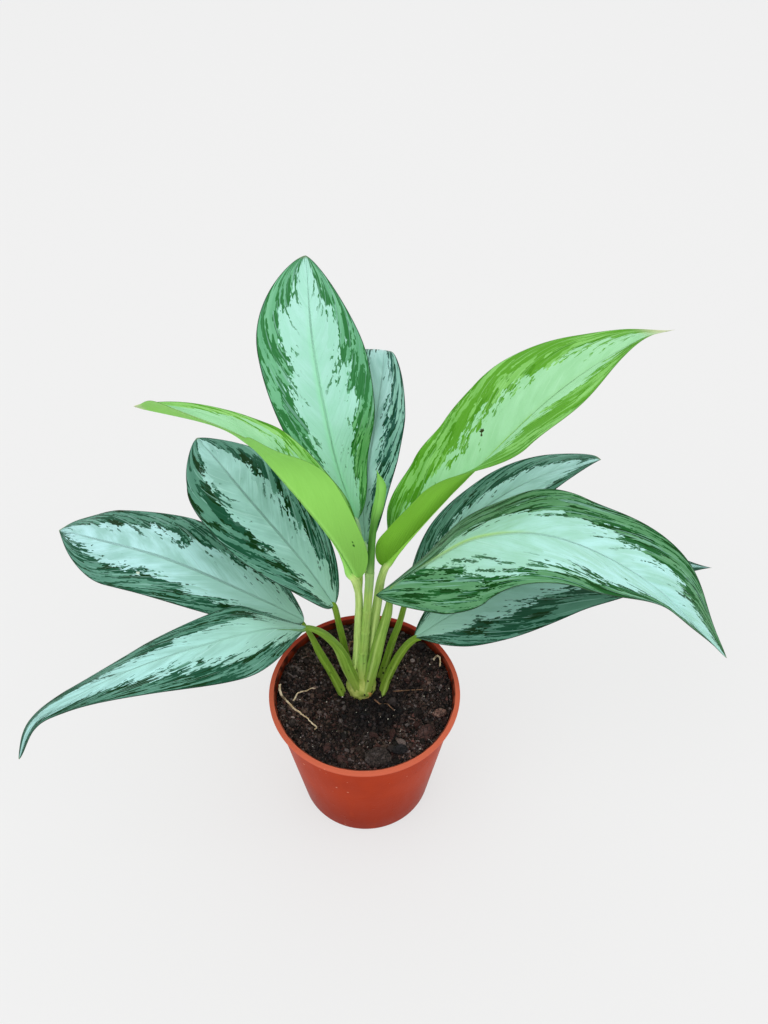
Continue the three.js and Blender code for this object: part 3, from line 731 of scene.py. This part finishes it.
# The stem: a round rod with low rings where old leaves stood, radius = listed radius + bells at the nodes,
# times 1 + ribRise * sin(ribs * turn).
def stemRings(form):
    share = np.linspace(0, 1, form["rows"])
    place, along, length = alongCurve(form["path"], share)
    bells = sum(np.exp(-(((share - at) / form["nodeWidth"]) ** 2)) for at in form["nodes"])
    radius = between(form["radii"], share) + form["nodeRise"] * bells
    turn = turns(form["columns"])
    ribs = 1 + form["ribRise"] * np.sin(form["ribs"] * turn)
    rings = carried(place, along, np.array([0.0, -1.0, 0.0]), radius[:, None] * ribs)
    return rings, dict(stalkPlace=fieldOf(share[:, None] * length, turn, 0.5))


rings, values = stemRings(stem)
addRings("central_stem", rings, stalkMaterial("stem_skin", stem["look"]), values)

furled = dict(
    path=[[4.2, 18.6, 190], [5.2, 23.8, 217], [6.6, 26, 232], [9, 28, 244], [10.4, 29.6, 254], [10.1, 31, 259],
          [8.2, 31.5, 268]],
    radii=[2.5, 2.5, 2.45, 2.5, 3.5, 3.3, 0.25], columns=48, rows=110, overlap=0.24, seamTurn=1.2, seamTwist=1.4,
    seamFrom=0.93, seamWidth=0.07,
    # The sheath colour of the furled leaf is painted shade: dark streaks along its rolled edge.
    look=dict(stalkLook, light=(84, 146, 56), shade=(56, 110, 32), yellow=(96, 158, 62), foot=(140, 180, 104),
              sheath=(40, 92, 22), topTone=(132, 198, 90), streakScale=2.2, footFrom=18.0, gritTo=2.2,
              topFrom=40.0))


# A rolled leaf: the radius shrinks by the overlap once round, so the outer edge stands over the inner one.
def furledRings(form):
    share = np.linspace(0, 1, form["rows"])
    place, along, length = alongCurve(form["path"], share)
    turn = turns(form["columns"])
    seam = (turn + form["seamTurn"] - form["seamTwist"] * share[:, None]) % (2 * np.pi) / (2 * np.pi)
    step = np.where(seam < form["seamFrom"], seam, form["seamFrom"] * (1 - seam) / form["seamWidth"])
    radii = between(form["radii"], share)[:, None] * (1 - form["overlap"] * step)
    rings = carried(place, along, np.array([-0.3, -1.0, 0.0]), radii)
    return rings, dict(stalkPlace=fieldOf(share[:, None] * length, turn, step))


rings, values = furledRings(furled)
addRings("furled_leaf", rings, stalkMaterial("furled_skin", furled["look"]), values)

crown = dict(
    place=(-2.0, 8.9), radius=10.1, bottom=86, top=103, rows=40, columns=72, blunt=0.55, closed=0.98,
    lumps=1.2, lumpWidth=5.0)


# The crown: a dome, height = bottom + span * sin, spread = radius * cos^blunt, pushed in and out by noise.
def crownRings(form):
    climb = np.linspace(0.02, 1, form["rows"])[:, None] * np.pi / 2
    spread = form["radius"] * np.cos(climb * form["closed"]) ** form["blunt"]
    turn = turns(form["columns"])
    rings = fieldOf(form["place"][0] + spread * np.cos(turn), form["place"][1] + spread * np.sin(turn),
                    form["bottom"] + (form["top"] - form["bottom"]) * np.sin(climb))
    middle = np.array([*form["place"], form["bottom"]])
    lumps = grains(rings / form["lumpWidth"], 3, 3) * form["lumps"]
    return rings + unit(rings - middle) * lumps[..., None]


# Crown skin: yellow-green with an orange-brown stain low down and grains of soil stuck to it.
def crownMaterial():
    material = newMaterial("crown_skin", roughness=0.45, specular=0.16)
    place = objectPlace()
    cloud = noise(place, scale=160.0, detail=4.0)
    fromStain = plus(distance(place, (0.0046, 0.0, 0.0955)), swing(noise(place, scale=260.0, detail=3.0), 0.010))
    grit = specks(place, 380.0, 0.74, 0.42)
    tone = layered((190, 200, 112), (edge(cloud, 0.3, 0.7), (140, 166, 66)),
                   (edge(fromStain, 0.0055, 0.001, most=0.8), (190, 128, 68)),
                   (edge(split(place)[2], 0.0965, 0.0925, most=0.7), (96, 88, 44)), (grit, (28, 22, 16)))
    return dressed(material, tone, plus(cloud, scaled(grit, 0.5)), 0.001)


addRings("crown", crownRings(crown), crownMaterial())
print("stem and crown made")


pot = dict(
    height=102, rimRadius=60, rimWidth=3.8, rimThickness=1.9, collarHeight=6.4, collarStep=0.9, collarFlare=0.3,
    baseRadius=42.3, baseThickness=2.4, wallThickness=1.6, drainCount=8, drainRadius=4.2, drainCircle=29,
    plateInner=20, plateOuter=38, arcSteps=24, sideSteps=10, sheetSteps=5)


# The wall is a cone: its radius grows evenly from the base to the rim.
def wallRadius(z):
    top = pot["rimRadius"] - pot["rimWidth"] + pot["wallThickness"]
    return pot["baseRadius"] + (top - pot["baseRadius"]) * np.asarray(z) / pot["height"]


# The inside stands one wall thickness further in.
def innerRadius(z):
    return wallRadius(z) - pot["wallThickness"]


# A polyline whose corners are rounded by a parabola that starts and ends the given length away.
def roundedLine(corners, lengths, steps=6):
    corners = np.array(corners, float)
    line = [corners[:1]]
    w = np.linspace(0, 1, steps)[:, None]
    for k in range(1, len(corners) - 1):
        before, after = (corners[k] + unit(corners[j] - corners[k]) * lengths[k] for j in (k - 1, k + 1))
        line.append((1 - w) ** 2 * before + 2 * w * (1 - w) * corners[k] + w**2 * after)
    line.append(corners[-1:])
    return np.vstack(line)


# One sheet of the base: eight sectors, each filled between its own outline and the circle of its hole.
def holedSheet(z):
    sector = 2 * np.pi / pot["drainCount"]
    arc = np.arange(pot["arcSteps"]) / pot["arcSteps"]
    side = np.arange(pot["sideSteps"]) / pot["sideSteps"]
    inner, outer = pot["plateInner"], pot["plateOuter"]
    depth = outer - inner
    radius = np.concatenate([outer + 0 * arc, outer - depth * side, inner + 0 * arc, inner + depth * side])
    angle = sector * np.concatenate([arc, 1 + 0 * side, 1 - arc, 0 * side])
    first = (np.arange(pot["drainCount"]) * sector)[:, None]
    border = fieldOf(radius * np.cos(first + angle), radius * np.sin(first + angle))
    centre = pot["drainCircle"] * fieldOf(np.cos(first + sector / 2), np.sin(first + sector / 2))
    hole = centre + unit(border - centre) * pot["drainRadius"]
    w = (np.arange(pot["sheetSteps"]) / (pot["sheetSteps"] - 1))[None, :, None, None]
    flat = hole[:, None] * (1 - w) + border[:, None] * w
    return fieldOf(flat[..., 0], flat[..., 1], float(z))


# Quads of a grid whose last axis is closed on itself, for many grids at once.
def closedGrids(shape, first):
    grid = first + np.arange(np.prod(shape)).reshape(shape)
    beside = np.roll(grid, -1, axis=-1)
    quads = [grid[..., :-1, :], grid[..., 1:, :], beside[..., 1:, :], beside[..., :-1, :]]
    return np.stack(quads, -1).reshape(-1, 4)


# Radius and height round the wall of the pot: up the outside, over the collar and lip, and down the inside.
def potProfile():
    thickness, top, rim, plate = (pot[key] for key in ("baseThickness", "height", "rimRadius", "plateOuter"))
    collarLow = top - pot["collarHeight"]
    lipLow = top - pot["rimThickness"]
    collar = wallRadius(collarLow) + pot["collarStep"]
    corners = [  # radius, height, length of the rounding
        [plate, 0, 0], [pot["baseRadius"], 0, 2.2], [wallRadius(20), 20, 2],
        [wallRadius(collarLow - 3), collarLow - 3, 2], [wallRadius(collarLow), collarLow, 0.5],
        [collar, collarLow + 0.8, 0.5], [collar + pot["collarFlare"], lipLow, 0.4], [rim, lipLow, 0.4],
        [rim, top, 0.85], [rim - pot["rimWidth"], top, 0.85], [innerRadius(top - 6), top - 6, 1],
        [innerRadius(40), 40, 1], [innerRadius(thickness), thickness, 2], [plate, thickness, 0]]
    return roundedLine([corner[:2] for corner in corners], [corner[2] for corner in corners])


# The pot: its profile turned once round, two holed sheets joined by the walls of their holes, and two discs.
def potMesh():
    line = potProfile()
    count = pot["drainCount"] * pot["arcSteps"]
    turn = np.arange(count) * 2 * np.pi / count
    wall = fieldOf(line[:, :1] * np.cos(turn), line[:, :1] * np.sin(turn), line[:, 1:])
    levels = (0, pot["baseThickness"])
    low, high = (holedSheet(z) for z in levels)
    holeWalls = np.stack([low[:, 0], high[:, 0]], axis=1)
    disc = pot["plateInner"] * fieldOf(np.cos(turn), np.sin(turn))
    rims = [fieldOf(disc[:, 0], disc[:, 1], float(z)) for z in levels]
    middles = np.array([[0, 0, z] for z in levels], float)
    blocks = [wall[None], low[:, ::-1], high, holeWalls]
    faces, first = [], 0
    for block in blocks:
        faces.append(closedGrids(block.shape[:-1], first))
        first += block[..., 0].size
    faces[0] = faces[0][:, ::-1]
    faces[3] = faces[3][:, ::-1]
    spokes = []
    for level in (0, 1):
        ring = first + level * count + np.arange(count)
        tip = np.full(count, first + 2 * count + level)
        beside = np.roll(ring, -1)
        spokes.append(np.stack([tip, ring, beside] if level else [tip, beside, ring], -1))
    points = np.concatenate([block.reshape(-1, 3) for block in blocks] + rims + [middles])
    _, keep, merged = np.unique(np.round(points, 4), axis=0, return_index=True, return_inverse=True)
    merged = merged.ravel()
    return points[keep], [merged[np.concatenate(faces)], merged[np.concatenate(spokes)]]


# Pot plastic: terracotta red, deeper towards the base, a lip with a painted highlight in front and painted shadow
# at the back, painted shade inside, pale drops and dark specks of soil.
def potMaterial():
    material = newMaterial("terracotta_plastic", specular=0.015)
    place = objectPlace()
    x, y, z = split(place)
    cloud = noise(place, scale=26.0, detail=4.0, roughness=0.6)
    fine = noise(place, scale=900.0)
    rubbed = noise(vector(x, y, scaled(z, 0.3)), scale=90.0, detail=5.0, roughness=0.65)
    drip = noise(vector(x, y, scaled(z, 0.15)), scale=160.0, detail=1.0)
    smear = edge(noise(place, scale=130.0, detail=4.0), 0.42, 0.62)
    splash = edge(distance(place, (-0.024, -0.045, 0.082)), 0.026, 0.012)
    patch = calc("MAXIMUM", edge(drip, 0.62, 0.7, most=0.6), splash)
    drops = times(specks(place, 300.0, 0.86, 0.30, fade=0.16), patch)
    dirt = specks(place, 210.0, 0.85, 0.20, fade=0.08, channel=1)
    # The lip is painted light: a pale painted highlight in front that fades to a painted shadow at the back.
    lipHighlightAndShadow = blend(edge(y, -0.01, 0.05), (212, 108, 82), (150, 52, 40))
    radius = calc("SQRT", plus(times(x, x), times(y, y)))
    slant = (wallRadius(pot["height"]) - pot["baseRadius"]) / pot["height"]
    middleWall = scaled(z, slant, (pot["baseRadius"] - pot["wallThickness"] / 2) * mm)
    # Inside the wall, painted shade darkens the plastic: 0.65 everywhere and up to 0.95 where the smear noise is
    # high.
    inside = calc("LESS_THAN", radius, middleWall)
    tone = layered((142, 36, 2), (edge(z, 0.0, 0.07), (176, 54, 12)),
                   (edge(cloud, 0.45, 0.7, most=0.45), (158, 44, 8)),
                   (edge(rubbed, 0.55, 0.75, most=0.12), (214, 86, 46)),
                   (edge(z, 0.0992, 0.1012, most=0.9), lipHighlightAndShadow), (scaled(drops, 0.75), (240, 190, 160)),
                   (times(dirt, edge(z, 0.094, 0.099)), (46, 26, 18)),
                   (times(inside, scaled(smear, 0.3, 0.65)), (44, 22, 16)))
    height = plus(scaled(fine, 0.25), plus(scaled(cloud, 0.8), dirt))
    return dressed(material, tone, height, 0.0003, plus(scaled(rubbed, 0.22, 0.24), scaled(drops, 0.2)))


potPoints, potFaces = potMesh()
addPiece("pot", potPoints, facingOut(potPoints, potFaces), potMaterial(), "pot")
print("pot made")


mix = dict(
    edgeHeight=97, middleHeight=93, riseFrom=0.45, bottom=2.7, sideTop=86, sideGap=0.3, topGrowth=0.35,
    columns=320, topRows=120, sideRows=14, bottomRows=10,
    bells=[(4, -27, 16, 1.2), (0, 50, 16, 1.6), (-24, 2, 13, -1.6)],  # x, y, spread, rise
    rough=1.2, roughWidth=9, fineRough=0.5, fineWidth=2.2,
    bottomGap=0.4, innermost=0.006, grainMargin=0.4, grainGap=0.1, chipClear=0.52, crownOverlap=0.5)


# Height of the surface: flat in the middle and rising to the wall by a smooth step, plus bells, plus noise.
def mixHeight(x, y):
    climb = smooth(mix["riseFrom"], 1, np.hypot(x, y) / innerRadius(mix["edgeHeight"]))
    z = mix["middleHeight"] + (mix["edgeHeight"] - mix["middleHeight"]) * climb
    for cx, cy, spread, rise in mix["bells"]:
        z = z + rise * np.exp(-((x - cx) ** 2 + (y - cy) ** 2) / spread**2)
    flat = fieldOf(x, y, 40.0)
    z = z + mix["rough"] * grains(flat / mix["roughWidth"], 21, 3)
    return z + mix["fineRough"] * grains(flat / mix["fineWidth"], 31, 2)


# The mix as rings: out over its underside, up along the wall of the pot, and in over its surface.
def mixRings():
    bottomRadius = np.linspace(1, float(innerRadius(mix["bottom"])) - mix["bottomGap"], mix["bottomRows"])
    sideHeight = np.linspace(mix["bottom"], mix["sideTop"], mix["sideRows"])
    sideRadius = innerRadius(sideHeight) + np.linspace(-mix["sideGap"], mix["topGrowth"], mix["sideRows"])
    topShare = np.linspace(1, mix["innermost"], mix["topRows"])
    topRadius = (float(innerRadius(mix["edgeHeight"])) + mix["topGrowth"]) * topShare
    radius = np.concatenate([bottomRadius, sideRadius, topRadius])[:, None]
    z = np.concatenate([np.full(mix["bottomRows"], mix["bottom"]), sideHeight, np.zeros(mix["topRows"])])[:, None]
    turn = turns(mix["columns"])
    x, y = radius * np.cos(turn), radius * np.sin(turn)
    isTop = np.arange(len(radius))[:, None] >= mix["bottomRows"] + mix["sideRows"]
    return fieldOf(x, y, np.where(isTop, mixHeight(x, y), z))


# Peat: near black to brown by cloudy noise, with reddish bits and lilac-grey bits, partly painted sheen, picked
# cell by cell, darker, bluer patches, one in front of the crown, and paler peat towards the wall. Grains carry
# their own random numbers.
def mixMaterial(name, look, toned=False):
    material = newMaterial(name, specular=look["specular"])
    place = objectPlace()
    cloud = noise(place, scale=140.0, detail=6.0, roughness=0.7)
    patchNoise = noise(place, scale=34.0)
    pick = split(attribute("grainTone") if toned else cells(place, scale=700.0))
    darkerPatch = edge(plus(distance(place, (0.006, -0.012, 0.093)), swing(patchNoise, 0.03)), 0.030, 0.010)
    darkerPatch = calc("MAXIMUM", darkerPatch, edge(patchNoise, 0.56, 0.40, most=0.6))
    paleTowardsWall = edge(plus(distance(place, (0.004, -0.004, 0.093)), swing(patchNoise, 0.04)), 0.028, 0.050)
    # The lilac-grey coat is partly painted sheen on the grains.
    tone = layered(look["black"], (edge(cloud, 0.35, 0.65), look["brown"]),
                   (edge(pick[0], 0.55, 1.0), look["tan"]), (edge(pick[1], 0.72, 0.95, most=0.8), look["red"]),
                   (edge(pick[2], 0.80, 1.0, most=0.75), look["grey"]), (scaled(darkerPatch, 0.75), look["darkerPatch"]))
    tone = blend(paleTowardsWall, tone, look["paleTowardsWall"], "MULTIPLY")
    crumbs = plus(cells(place, 900.0, "Distance"), noise(place, scale=1600.0, detail=3.0))
    return dressed(material, tone, crumbs, look["relief"], scaled(cloud, 0.6, look["gloss"]))


peat = dict(black=(9, 8, 8), brown=(38, 30, 27), tan=(84, 68, 60), red=(70, 44, 40), grey=(118, 108, 108),
            darkerPatch=(12, 13, 17), paleTowardsWall=(1.35, 1.3, 1.3, 1.0), specular=0.16, gloss=0.2, relief=0.0010)
loosePeat = dict(peat, relief=0.0006)
flakePeat = dict(loosePeat, black=(44, 34, 32), brown=(72, 56, 52), tan=(112, 90, 82), red=(104, 66, 60),
                 grey=(146, 134, 134))
addRings("potting_mix", mixRings(), mixMaterial("mix_body", peat))


chips = [  # place, length, width and height, turn in degrees, number of its bark
    dict(name="bark_chip_1", place=(8.8, -45.2), size=(16, 14, 4.2), turn=20, bark=0, rings=True),
    dict(name="bark_chip_2", place=(21.9, -39.9), size=(9.5, 7, 3.2), turn=15, bark=1),
    dict(name="bark_chip_3", place=(-13.8, -45.7), size=(7, 5.5, 2.6), turn=-25, bark=2),
    dict(name="bark_chip_4", place=(-22.5, -38.4), size=(6.5, 5, 2.6), turn=60, bark=2),
    dict(name="bark_chip_5", place=(38.7, -27.3), size=(13, 11, 4.0), turn=35, bark=2),
    dict(name="bark_chip_6", place=(47.1, -13.8), size=(9, 6.5, 3.4), turn=10, bark=3),
    dict(name="bark_chip_7", place=(-44.7, -20.5), size=(5, 4.5, 2.4), turn=95, bark=0),
]


# Corners and faces of a ball with twenty faces, split into four each when asked.
def ball(splits):
    shape = bmesh.new()
    bmesh.ops.create_icosphere(shape, subdivisions=splits, radius=1)
    points = np.array([corner.co[:] for corner in shape.verts])
    faces = np.array([[corner.index for corner in face.verts] for face in shape.faces])
    shape.free()
    return points, faces


# Random turns as matrices, from unit quaternions.
def randomTurns(random, count):
    a, b, c, d = unit(random.normal(size=(count, 4))).T
    rows = [[1 - 2 * (c * c + d * d), 2 * (b * c - d * a), 2 * (b * d + c * a)],
            [2 * (b * c + d * a), 1 - 2 * (b * b + d * d), 2 * (c * d - b * a)],
            [2 * (b * d - c * a), 2 * (c * d + b * a), 1 - 2 * (b * b + c * c)]]
    return np.moveaxis(np.array(rows), -1, 0)


# Places that stay free of grains: under the chips, which are turned ellipses, and over the crown.
def isFree(x, y):
    cx, cy = crown["place"]
    free = np.hypot(x - cx, y - cy) > crown["radius"] - mix["crownOverlap"]
    for chip in chips:
        angle = math.radians(chip["turn"])
        dx, dy = x - chip["place"][0], y - chip["place"][1]
        along = dx * math.cos(angle) + dy * math.sin(angle)
        beside = dy * math.cos(angle) - dx * math.sin(angle)
        free &= np.hypot(along / chip["size"][0], beside / chip["size"][1]) > mix["chipClear"]
    return free


# Many grains in one mesh: each is a dented ball, stretched, turned at random and set down on the mix.
def addGrains(form, material):
    random = np.random.default_rng(form["seed"])
    count = form["count"]
    base, faces = ball(form["splits"])
    reach = (innerRadius(mix["edgeHeight"]) - mix["grainMargin"]) * random.random(count) ** 0.5
    turn = random.random(count) * 2 * np.pi
    x, y = reach * np.cos(turn), reach * np.sin(turn)
    wanted = isFree(x, y)
    if "near" in form:
        cx, cy, spread = form["near"]
        wanted &= random.random(count) < np.exp(-((x - cx) ** 2 + (y - cy) ** 2) / spread**2) + form["anywhere"]
    x, y = x[wanted], y[wanted]
    count = len(x)
    size = form["size"] * (form["least"] + random.random(count) ** 2 * form["more"])
    stretch = 1 + form["stretch"] * (random.random((count, 3)) - 0.5)
    dents = 1 + form["dent"] * (random.random((count, len(base))) - 0.5)
    points = base[None] * dents[..., None] * stretch[:, None] * size[:, None, None]
    points[..., 0] *= form["long"]
    points = np.einsum("nij,nkj->nki", randomTurns(random, count), points)
    points[..., 2] *= form["squash"]
    points = points + fieldOf(x, y, mixHeight(x, y) + size * form["rise"])[:, None]
    spill = np.hypot(points[..., 0], points[..., 1]) / (innerRadius(points[..., 2]) - mix["grainGap"])
    points[..., :2] /= np.maximum(spill, 1)[..., None]
    allFaces = (faces[None] + (np.arange(count) * len(base))[:, None, None]).reshape(-1, 3)
    tone = np.repeat(random.random((count, 3)), len(base), axis=0)
    addPiece(form["name"], points.reshape(-1, 3), [allFaces], material, "potting_mix",
             dict(grainTone=tone), flat=True)


# Size and rise are in mm. Near is a place and a spread that a kind keeps to, apart from a share anywhere.
grainForm = dict(skin="grain", splits=1, long=1, squash=1, least=0.5, more=1.1)
grainKinds = [
    dict(grainForm, name="mix_fine", seed=11, count=10000, size=0.46, stretch=0.9, dent=0.6, rise=0.3),
    dict(grainForm, name="mix_crumbs", seed=15, count=10000, size=0.60, stretch=1.0, dent=0.6, rise=0.3),
    dict(grainForm, name="mix_medium", seed=12, count=2300, splits=2, size=0.80, stretch=1.1, dent=0.5, rise=0.35),
    dict(grainForm, name="mix_coarse", seed=13, count=1100, splits=2, size=1.45, stretch=1.1, dent=0.42, rise=0.2,
         near=(6, -42, 20), anywhere=0.10),
    dict(grainForm, name="mix_flakes", skin="flake", seed=16, count=520, size=0.85, stretch=1.0, dent=0.6,
         rise=0.7, squash=0.45, near=(36, -8, 34), anywhere=0.25),
    dict(grainForm, name="mix_fibres", skin="flake", seed=17, count=620, size=0.30, stretch=0.6, dent=0.3,
         rise=1.6, squash=0.30, long=7.0),
    # Pale specks: grains set a little above the mix and painted pale as glints.
    dict(grainForm, name="mix_glint_specks", skin="speck", seed=14, count=150, size=0.32, stretch=0.6, dent=0.3,
         rise=2.2),
]
grainSkins = dict(
    grain=mixMaterial("mix_grains", loosePeat, toned=True), flake=mixMaterial("mix_flakes", flakePeat, toned=True),
    speck=newMaterial("pale_glint_specks", roughness=0.8, others={"Base Color": linear((190, 184, 172))}))
for form in grainKinds:
    addGrains(form, grainSkins[form["skin"]])
print("potting mix made")


chipForm = dict(
    rows=46, columns=72, steep=0.45, notch=0.16, notchReach=1.3, dent=0.45, dentWidth=2.6, dentBelow=0.3,
    ringRise=0.28, ringStep=2.6, ringFrom=0.2, seat=0.42)


# A chip: a flattened ball, a low power of the cosine round the edge so that the sides stand steep, its
# outline notched and its faces dented by noise, and on one chip the rings of the wood.
def chipRings(chip, seed):
    form = chipForm
    climb = np.linspace(-np.pi / 2, np.pi / 2, form["rows"])[1:-1, None]
    turn = turns(form["columns"])
    circle = form["notchReach"] * fieldOf(np.cos(turn), np.sin(turn))
    notch = 1 + form["notch"] * grains(fieldOf(circle[:, 0], circle[:, 1], seed * 7.0), 40 + seed, 3)
    spread = np.cos(climb) ** form["steep"] * notch
    x = chip["size"][0] / 2 * spread * np.cos(turn)
    y = chip["size"][1] / 2 * spread * np.sin(turn)
    z = chip["size"][2] / 2 * np.sin(climb) + 0 * turn
    dents = grains(fieldOf(x, y, z + seed * 9.0) / form["dentWidth"], 50 + seed, 3)
    z = z + np.where(z > 0, 1, form["dentBelow"]) * form["dent"] * dents
    if chip.get("rings"):
        onTop = np.sin(climb) > form["ringFrom"]
        z = z + form["ringRise"] * np.sin(np.hypot(x, y) * form["ringStep"]) * onTop
    cosine, sine = math.cos(math.radians(chip["turn"])), math.sin(math.radians(chip["turn"]))
    cx, cy = chip["place"]
    z = z + mixHeight(np.array([float(cx)]), np.array([float(cy)]))[0] + chip["size"][2] * form["seat"]
    return fieldOf(cx + x * cosine - y * sine, cy + x * sine + y * cosine, z)


# Bark: fibrous brown layers with grey weathering on top and dark cracks.
def barkMaterial(name, dark, light, pale):
    material = newMaterial(name, roughness=0.75, specular=0.3)
    place = objectPlace()
    x, y, z = split(place)
    fibre = noise(vector(x, scaled(y, 0.35), z), scale=900.0, detail=5.0, roughness=0.7)
    cloud = noise(place, scale=300.0, detail=3.0)
    crack = edge(cells(place, 330.0, "Distance", feature="DISTANCE_TO_EDGE"), 0.05, 0.0)
    tone = layered(dark, (edge(fibre, 0.35, 0.65), light), (edge(cloud, 0.5, 0.7, most=0.7), pale),
                   (scaled(crack, 0.8), (16, 12, 11)))
    return dressed(material, tone, calc("SUBTRACT", fibre, crack), 0.0008)


barks = [barkMaterial("bark_grey", (34, 27, 25), (66, 54, 50), (92, 82, 82)),
         barkMaterial("bark_black", (12, 11, 13), (28, 25, 28), (44, 40, 46)),
         barkMaterial("bark_red", (44, 25, 23), (74, 45, 40), (88, 66, 64)),
         barkMaterial("bark_pale", (74, 50, 44), (124, 90, 80), (150, 122, 112))]
for seed, chip in enumerate(chips):
    addRings(chip["name"], chipRings(chip, seed), barks[chip["bark"]])
print("chips made")


roots = [  # each point is x, y and the height above the mix
    dict(name="root_left", skin="pale", radius=0.8, sway=0.7,
         path=[[-53.6, 3.6, 4.4], [-50.9, -2.8, 1], [-45, -9.1, 0], [-38.2, -14.2, 0.4], [-31, -21, 0.2],
               [-31, -25, 0.2]]),
    dict(name="root_left_fork", skin="pale", radius=0.6, sway=0.7,
         path=[[-44.6, -3, 0.2], [-40.7, 2.2, 0.6], [-35.8, 5.4, 0.3], [-31.9, 6.6, 0.2]]),
    dict(name="root_right", skin="pale", radius=0.8, sway=0.7,
         path=[[44.6, 26.4, 0.2], [46.8, 27.7, 1.2], [48.2, 24.9, 1.2], [48.4, 21.2, 0.2]]),
    dict(name="root_middle", skin="brown", radius=0.5, sway=0.7,
         path=[[6, -2, 0.2], [10, -4.6, 0.3], [14.6, -5.6, 0.3], [19, -9.4, 0.2]]),
    dict(name="root_back", skin="brown", radius=0.8, sway=0.7,
         path=[[-10.9, 35.1, 0], [-10.5, 37.7, 3], [-8.9, 39.4, 3.6], [-7.3, 37.8, 0]]),
    dict(name="twig", skin="brown", radius=0.45, sway=0.0,
         path=[[18, 4.2, 0.4], [27, 5.1, 0.6], [36.9, 4.3, 0.4]]),
]


rootForm = dict(rows=70, columns=12, lift=0.7, taper=0.5, knots=0.22, waver=5, inner=(0.31, 0.22, 1.0))


# A root: a thin tube that wavers, radius = listed radius * (1 - taper * share) * (1 + knots * noise).
def rootRings(root, seed):
    form = rootForm
    share = np.linspace(0, 1, form["rows"])
    knots = np.array(root["path"], float)
    knots[:, 2] += mixHeight(knots[:, 0], knots[:, 1]) + root["radius"] + form["lift"]
    place, along, length = alongCurve(knots, share)
    wiggle = fieldOf(share * length / form["waver"], seed, 0.0)
    place = place + root["sway"] * np.stack([grains(wiggle, 60 + k, 3) for k in range(3)], -1)
    radii = root["radius"] * (1 - form["taper"] * share) * (1 + form["knots"] * grains(wiggle * 3, 80, 2))
    return carried(place, along, np.array(form["inner"]), np.repeat(radii[:, None], form["columns"], 1))


# Root skin: tan with pale worn stretches and brown soil stains.
def rootMaterial(name, light, dark):
    material = newMaterial(name, roughness=0.6, specular=0.35)
    place = objectPlace()
    cloud = noise(place, scale=260.0, detail=4.0, roughness=0.65)
    stain = edge(noise(place, scale=120.0), 0.52, 0.66, most=0.75)
    tone = layered(light, (edge(cloud, 0.35, 0.65), dark), (stain, (74, 52, 36)))
    return dressed(material, tone, cloud, 0.0004)


rootSkins = dict(pale=rootMaterial("root_pale", (236, 218, 190), (190, 160, 122)),
                 brown=rootMaterial("root_brown", (140, 104, 76), (96, 68, 50)))
for seed, root in enumerate(roots):
    addRings(root["name"], rootRings(root, seed), rootSkins[root["skin"]])
print("roots made")


# A camera that looks along +Y and is pitched up from straight down, in degrees.
def addCamera(place, pitch, lens):
    data = bpy.data.cameras.new("camera")
    data.lens = lens
    data.sensor_width = 36
    camera = bpy.data.objects.new("camera", data)
    camera.location = place
    camera.rotation_euler = (math.radians(pitch), 0, 0)
    scene.collection.objects.link(camera)
    scene.camera = camera


# A round lamp turned towards its aim.
def addLamp(name, place, aim, size, power, colour=(1.0, 1.0, 1.0)):
    data = bpy.data.lights.new(name, "AREA")
    data.shape = "DISK"
    data.size = size
    data.energy = power
    data.color = colour
    lamp = bpy.data.objects.new(name, data)
    lamp.location = place
    dx, dy, dz = np.array(aim, float) - np.array(place, float)
    lamp.rotation_euler = (math.atan2(math.hypot(dx, dy), -dz), 0, math.atan2(dy, dx) - math.pi / 2)
    scene.collection.objects.link(lamp)


# A wide plain square just below the pot, with a little light of its own.
def addFloor(reach=6, drop=0.0003, grey=0.22, glow=0.64):
    white = (1.0, 1.0, 1.0, 1.0)
    others = {"Base Color": (grey, grey, grey, 1.0), "Emission Color": white, "Emission Strength": glow}
    corners = [(x * reach, y * reach, -drop) for x, y in ((-1, -1), (1, -1), (1, 1), (-1, 1))]
    mesh = bpy.data.meshes.new("floor")
    mesh.from_pydata(corners, [], [(0, 1, 2, 3)])
    mesh.materials.append(newMaterial("floor_white", roughness=0.9, specular=0.1, others=others))
    floor = bpy.data.objects.new("floor", mesh)
    scene.collection.objects.link(floor)


addCamera(place=(0.0122, -0.4207, 0.7329), pitch=42.2, lens=42)
addLamp("key_light", (-0.7, -0.5, 1.7), (0, 0.03, 0.15), size=1.5, power=8.0, colour=(1.0, 1.0, 0.99))
addLamp("fill_light", (1.1, -0.6, 1.2), (0, 0, 0.15), size=1.6, power=3.0)
addLamp("back_light", (0.2, 1.3, 1.5), (0, 0, 0.2), size=1.6, power=3.0)
addFloor()
world = bpy.data.worlds.new("studio")
world.use_nodes = True
world.node_tree.nodes["Background"].inputs["Color"].default_value = (1.0, 1.0, 1.0, 1.0)
world.node_tree.nodes["Background"].inputs["Strength"].default_value = 0.83
scene.world = world
scene.view_settings.view_transform = "Standard"
print("stage made")
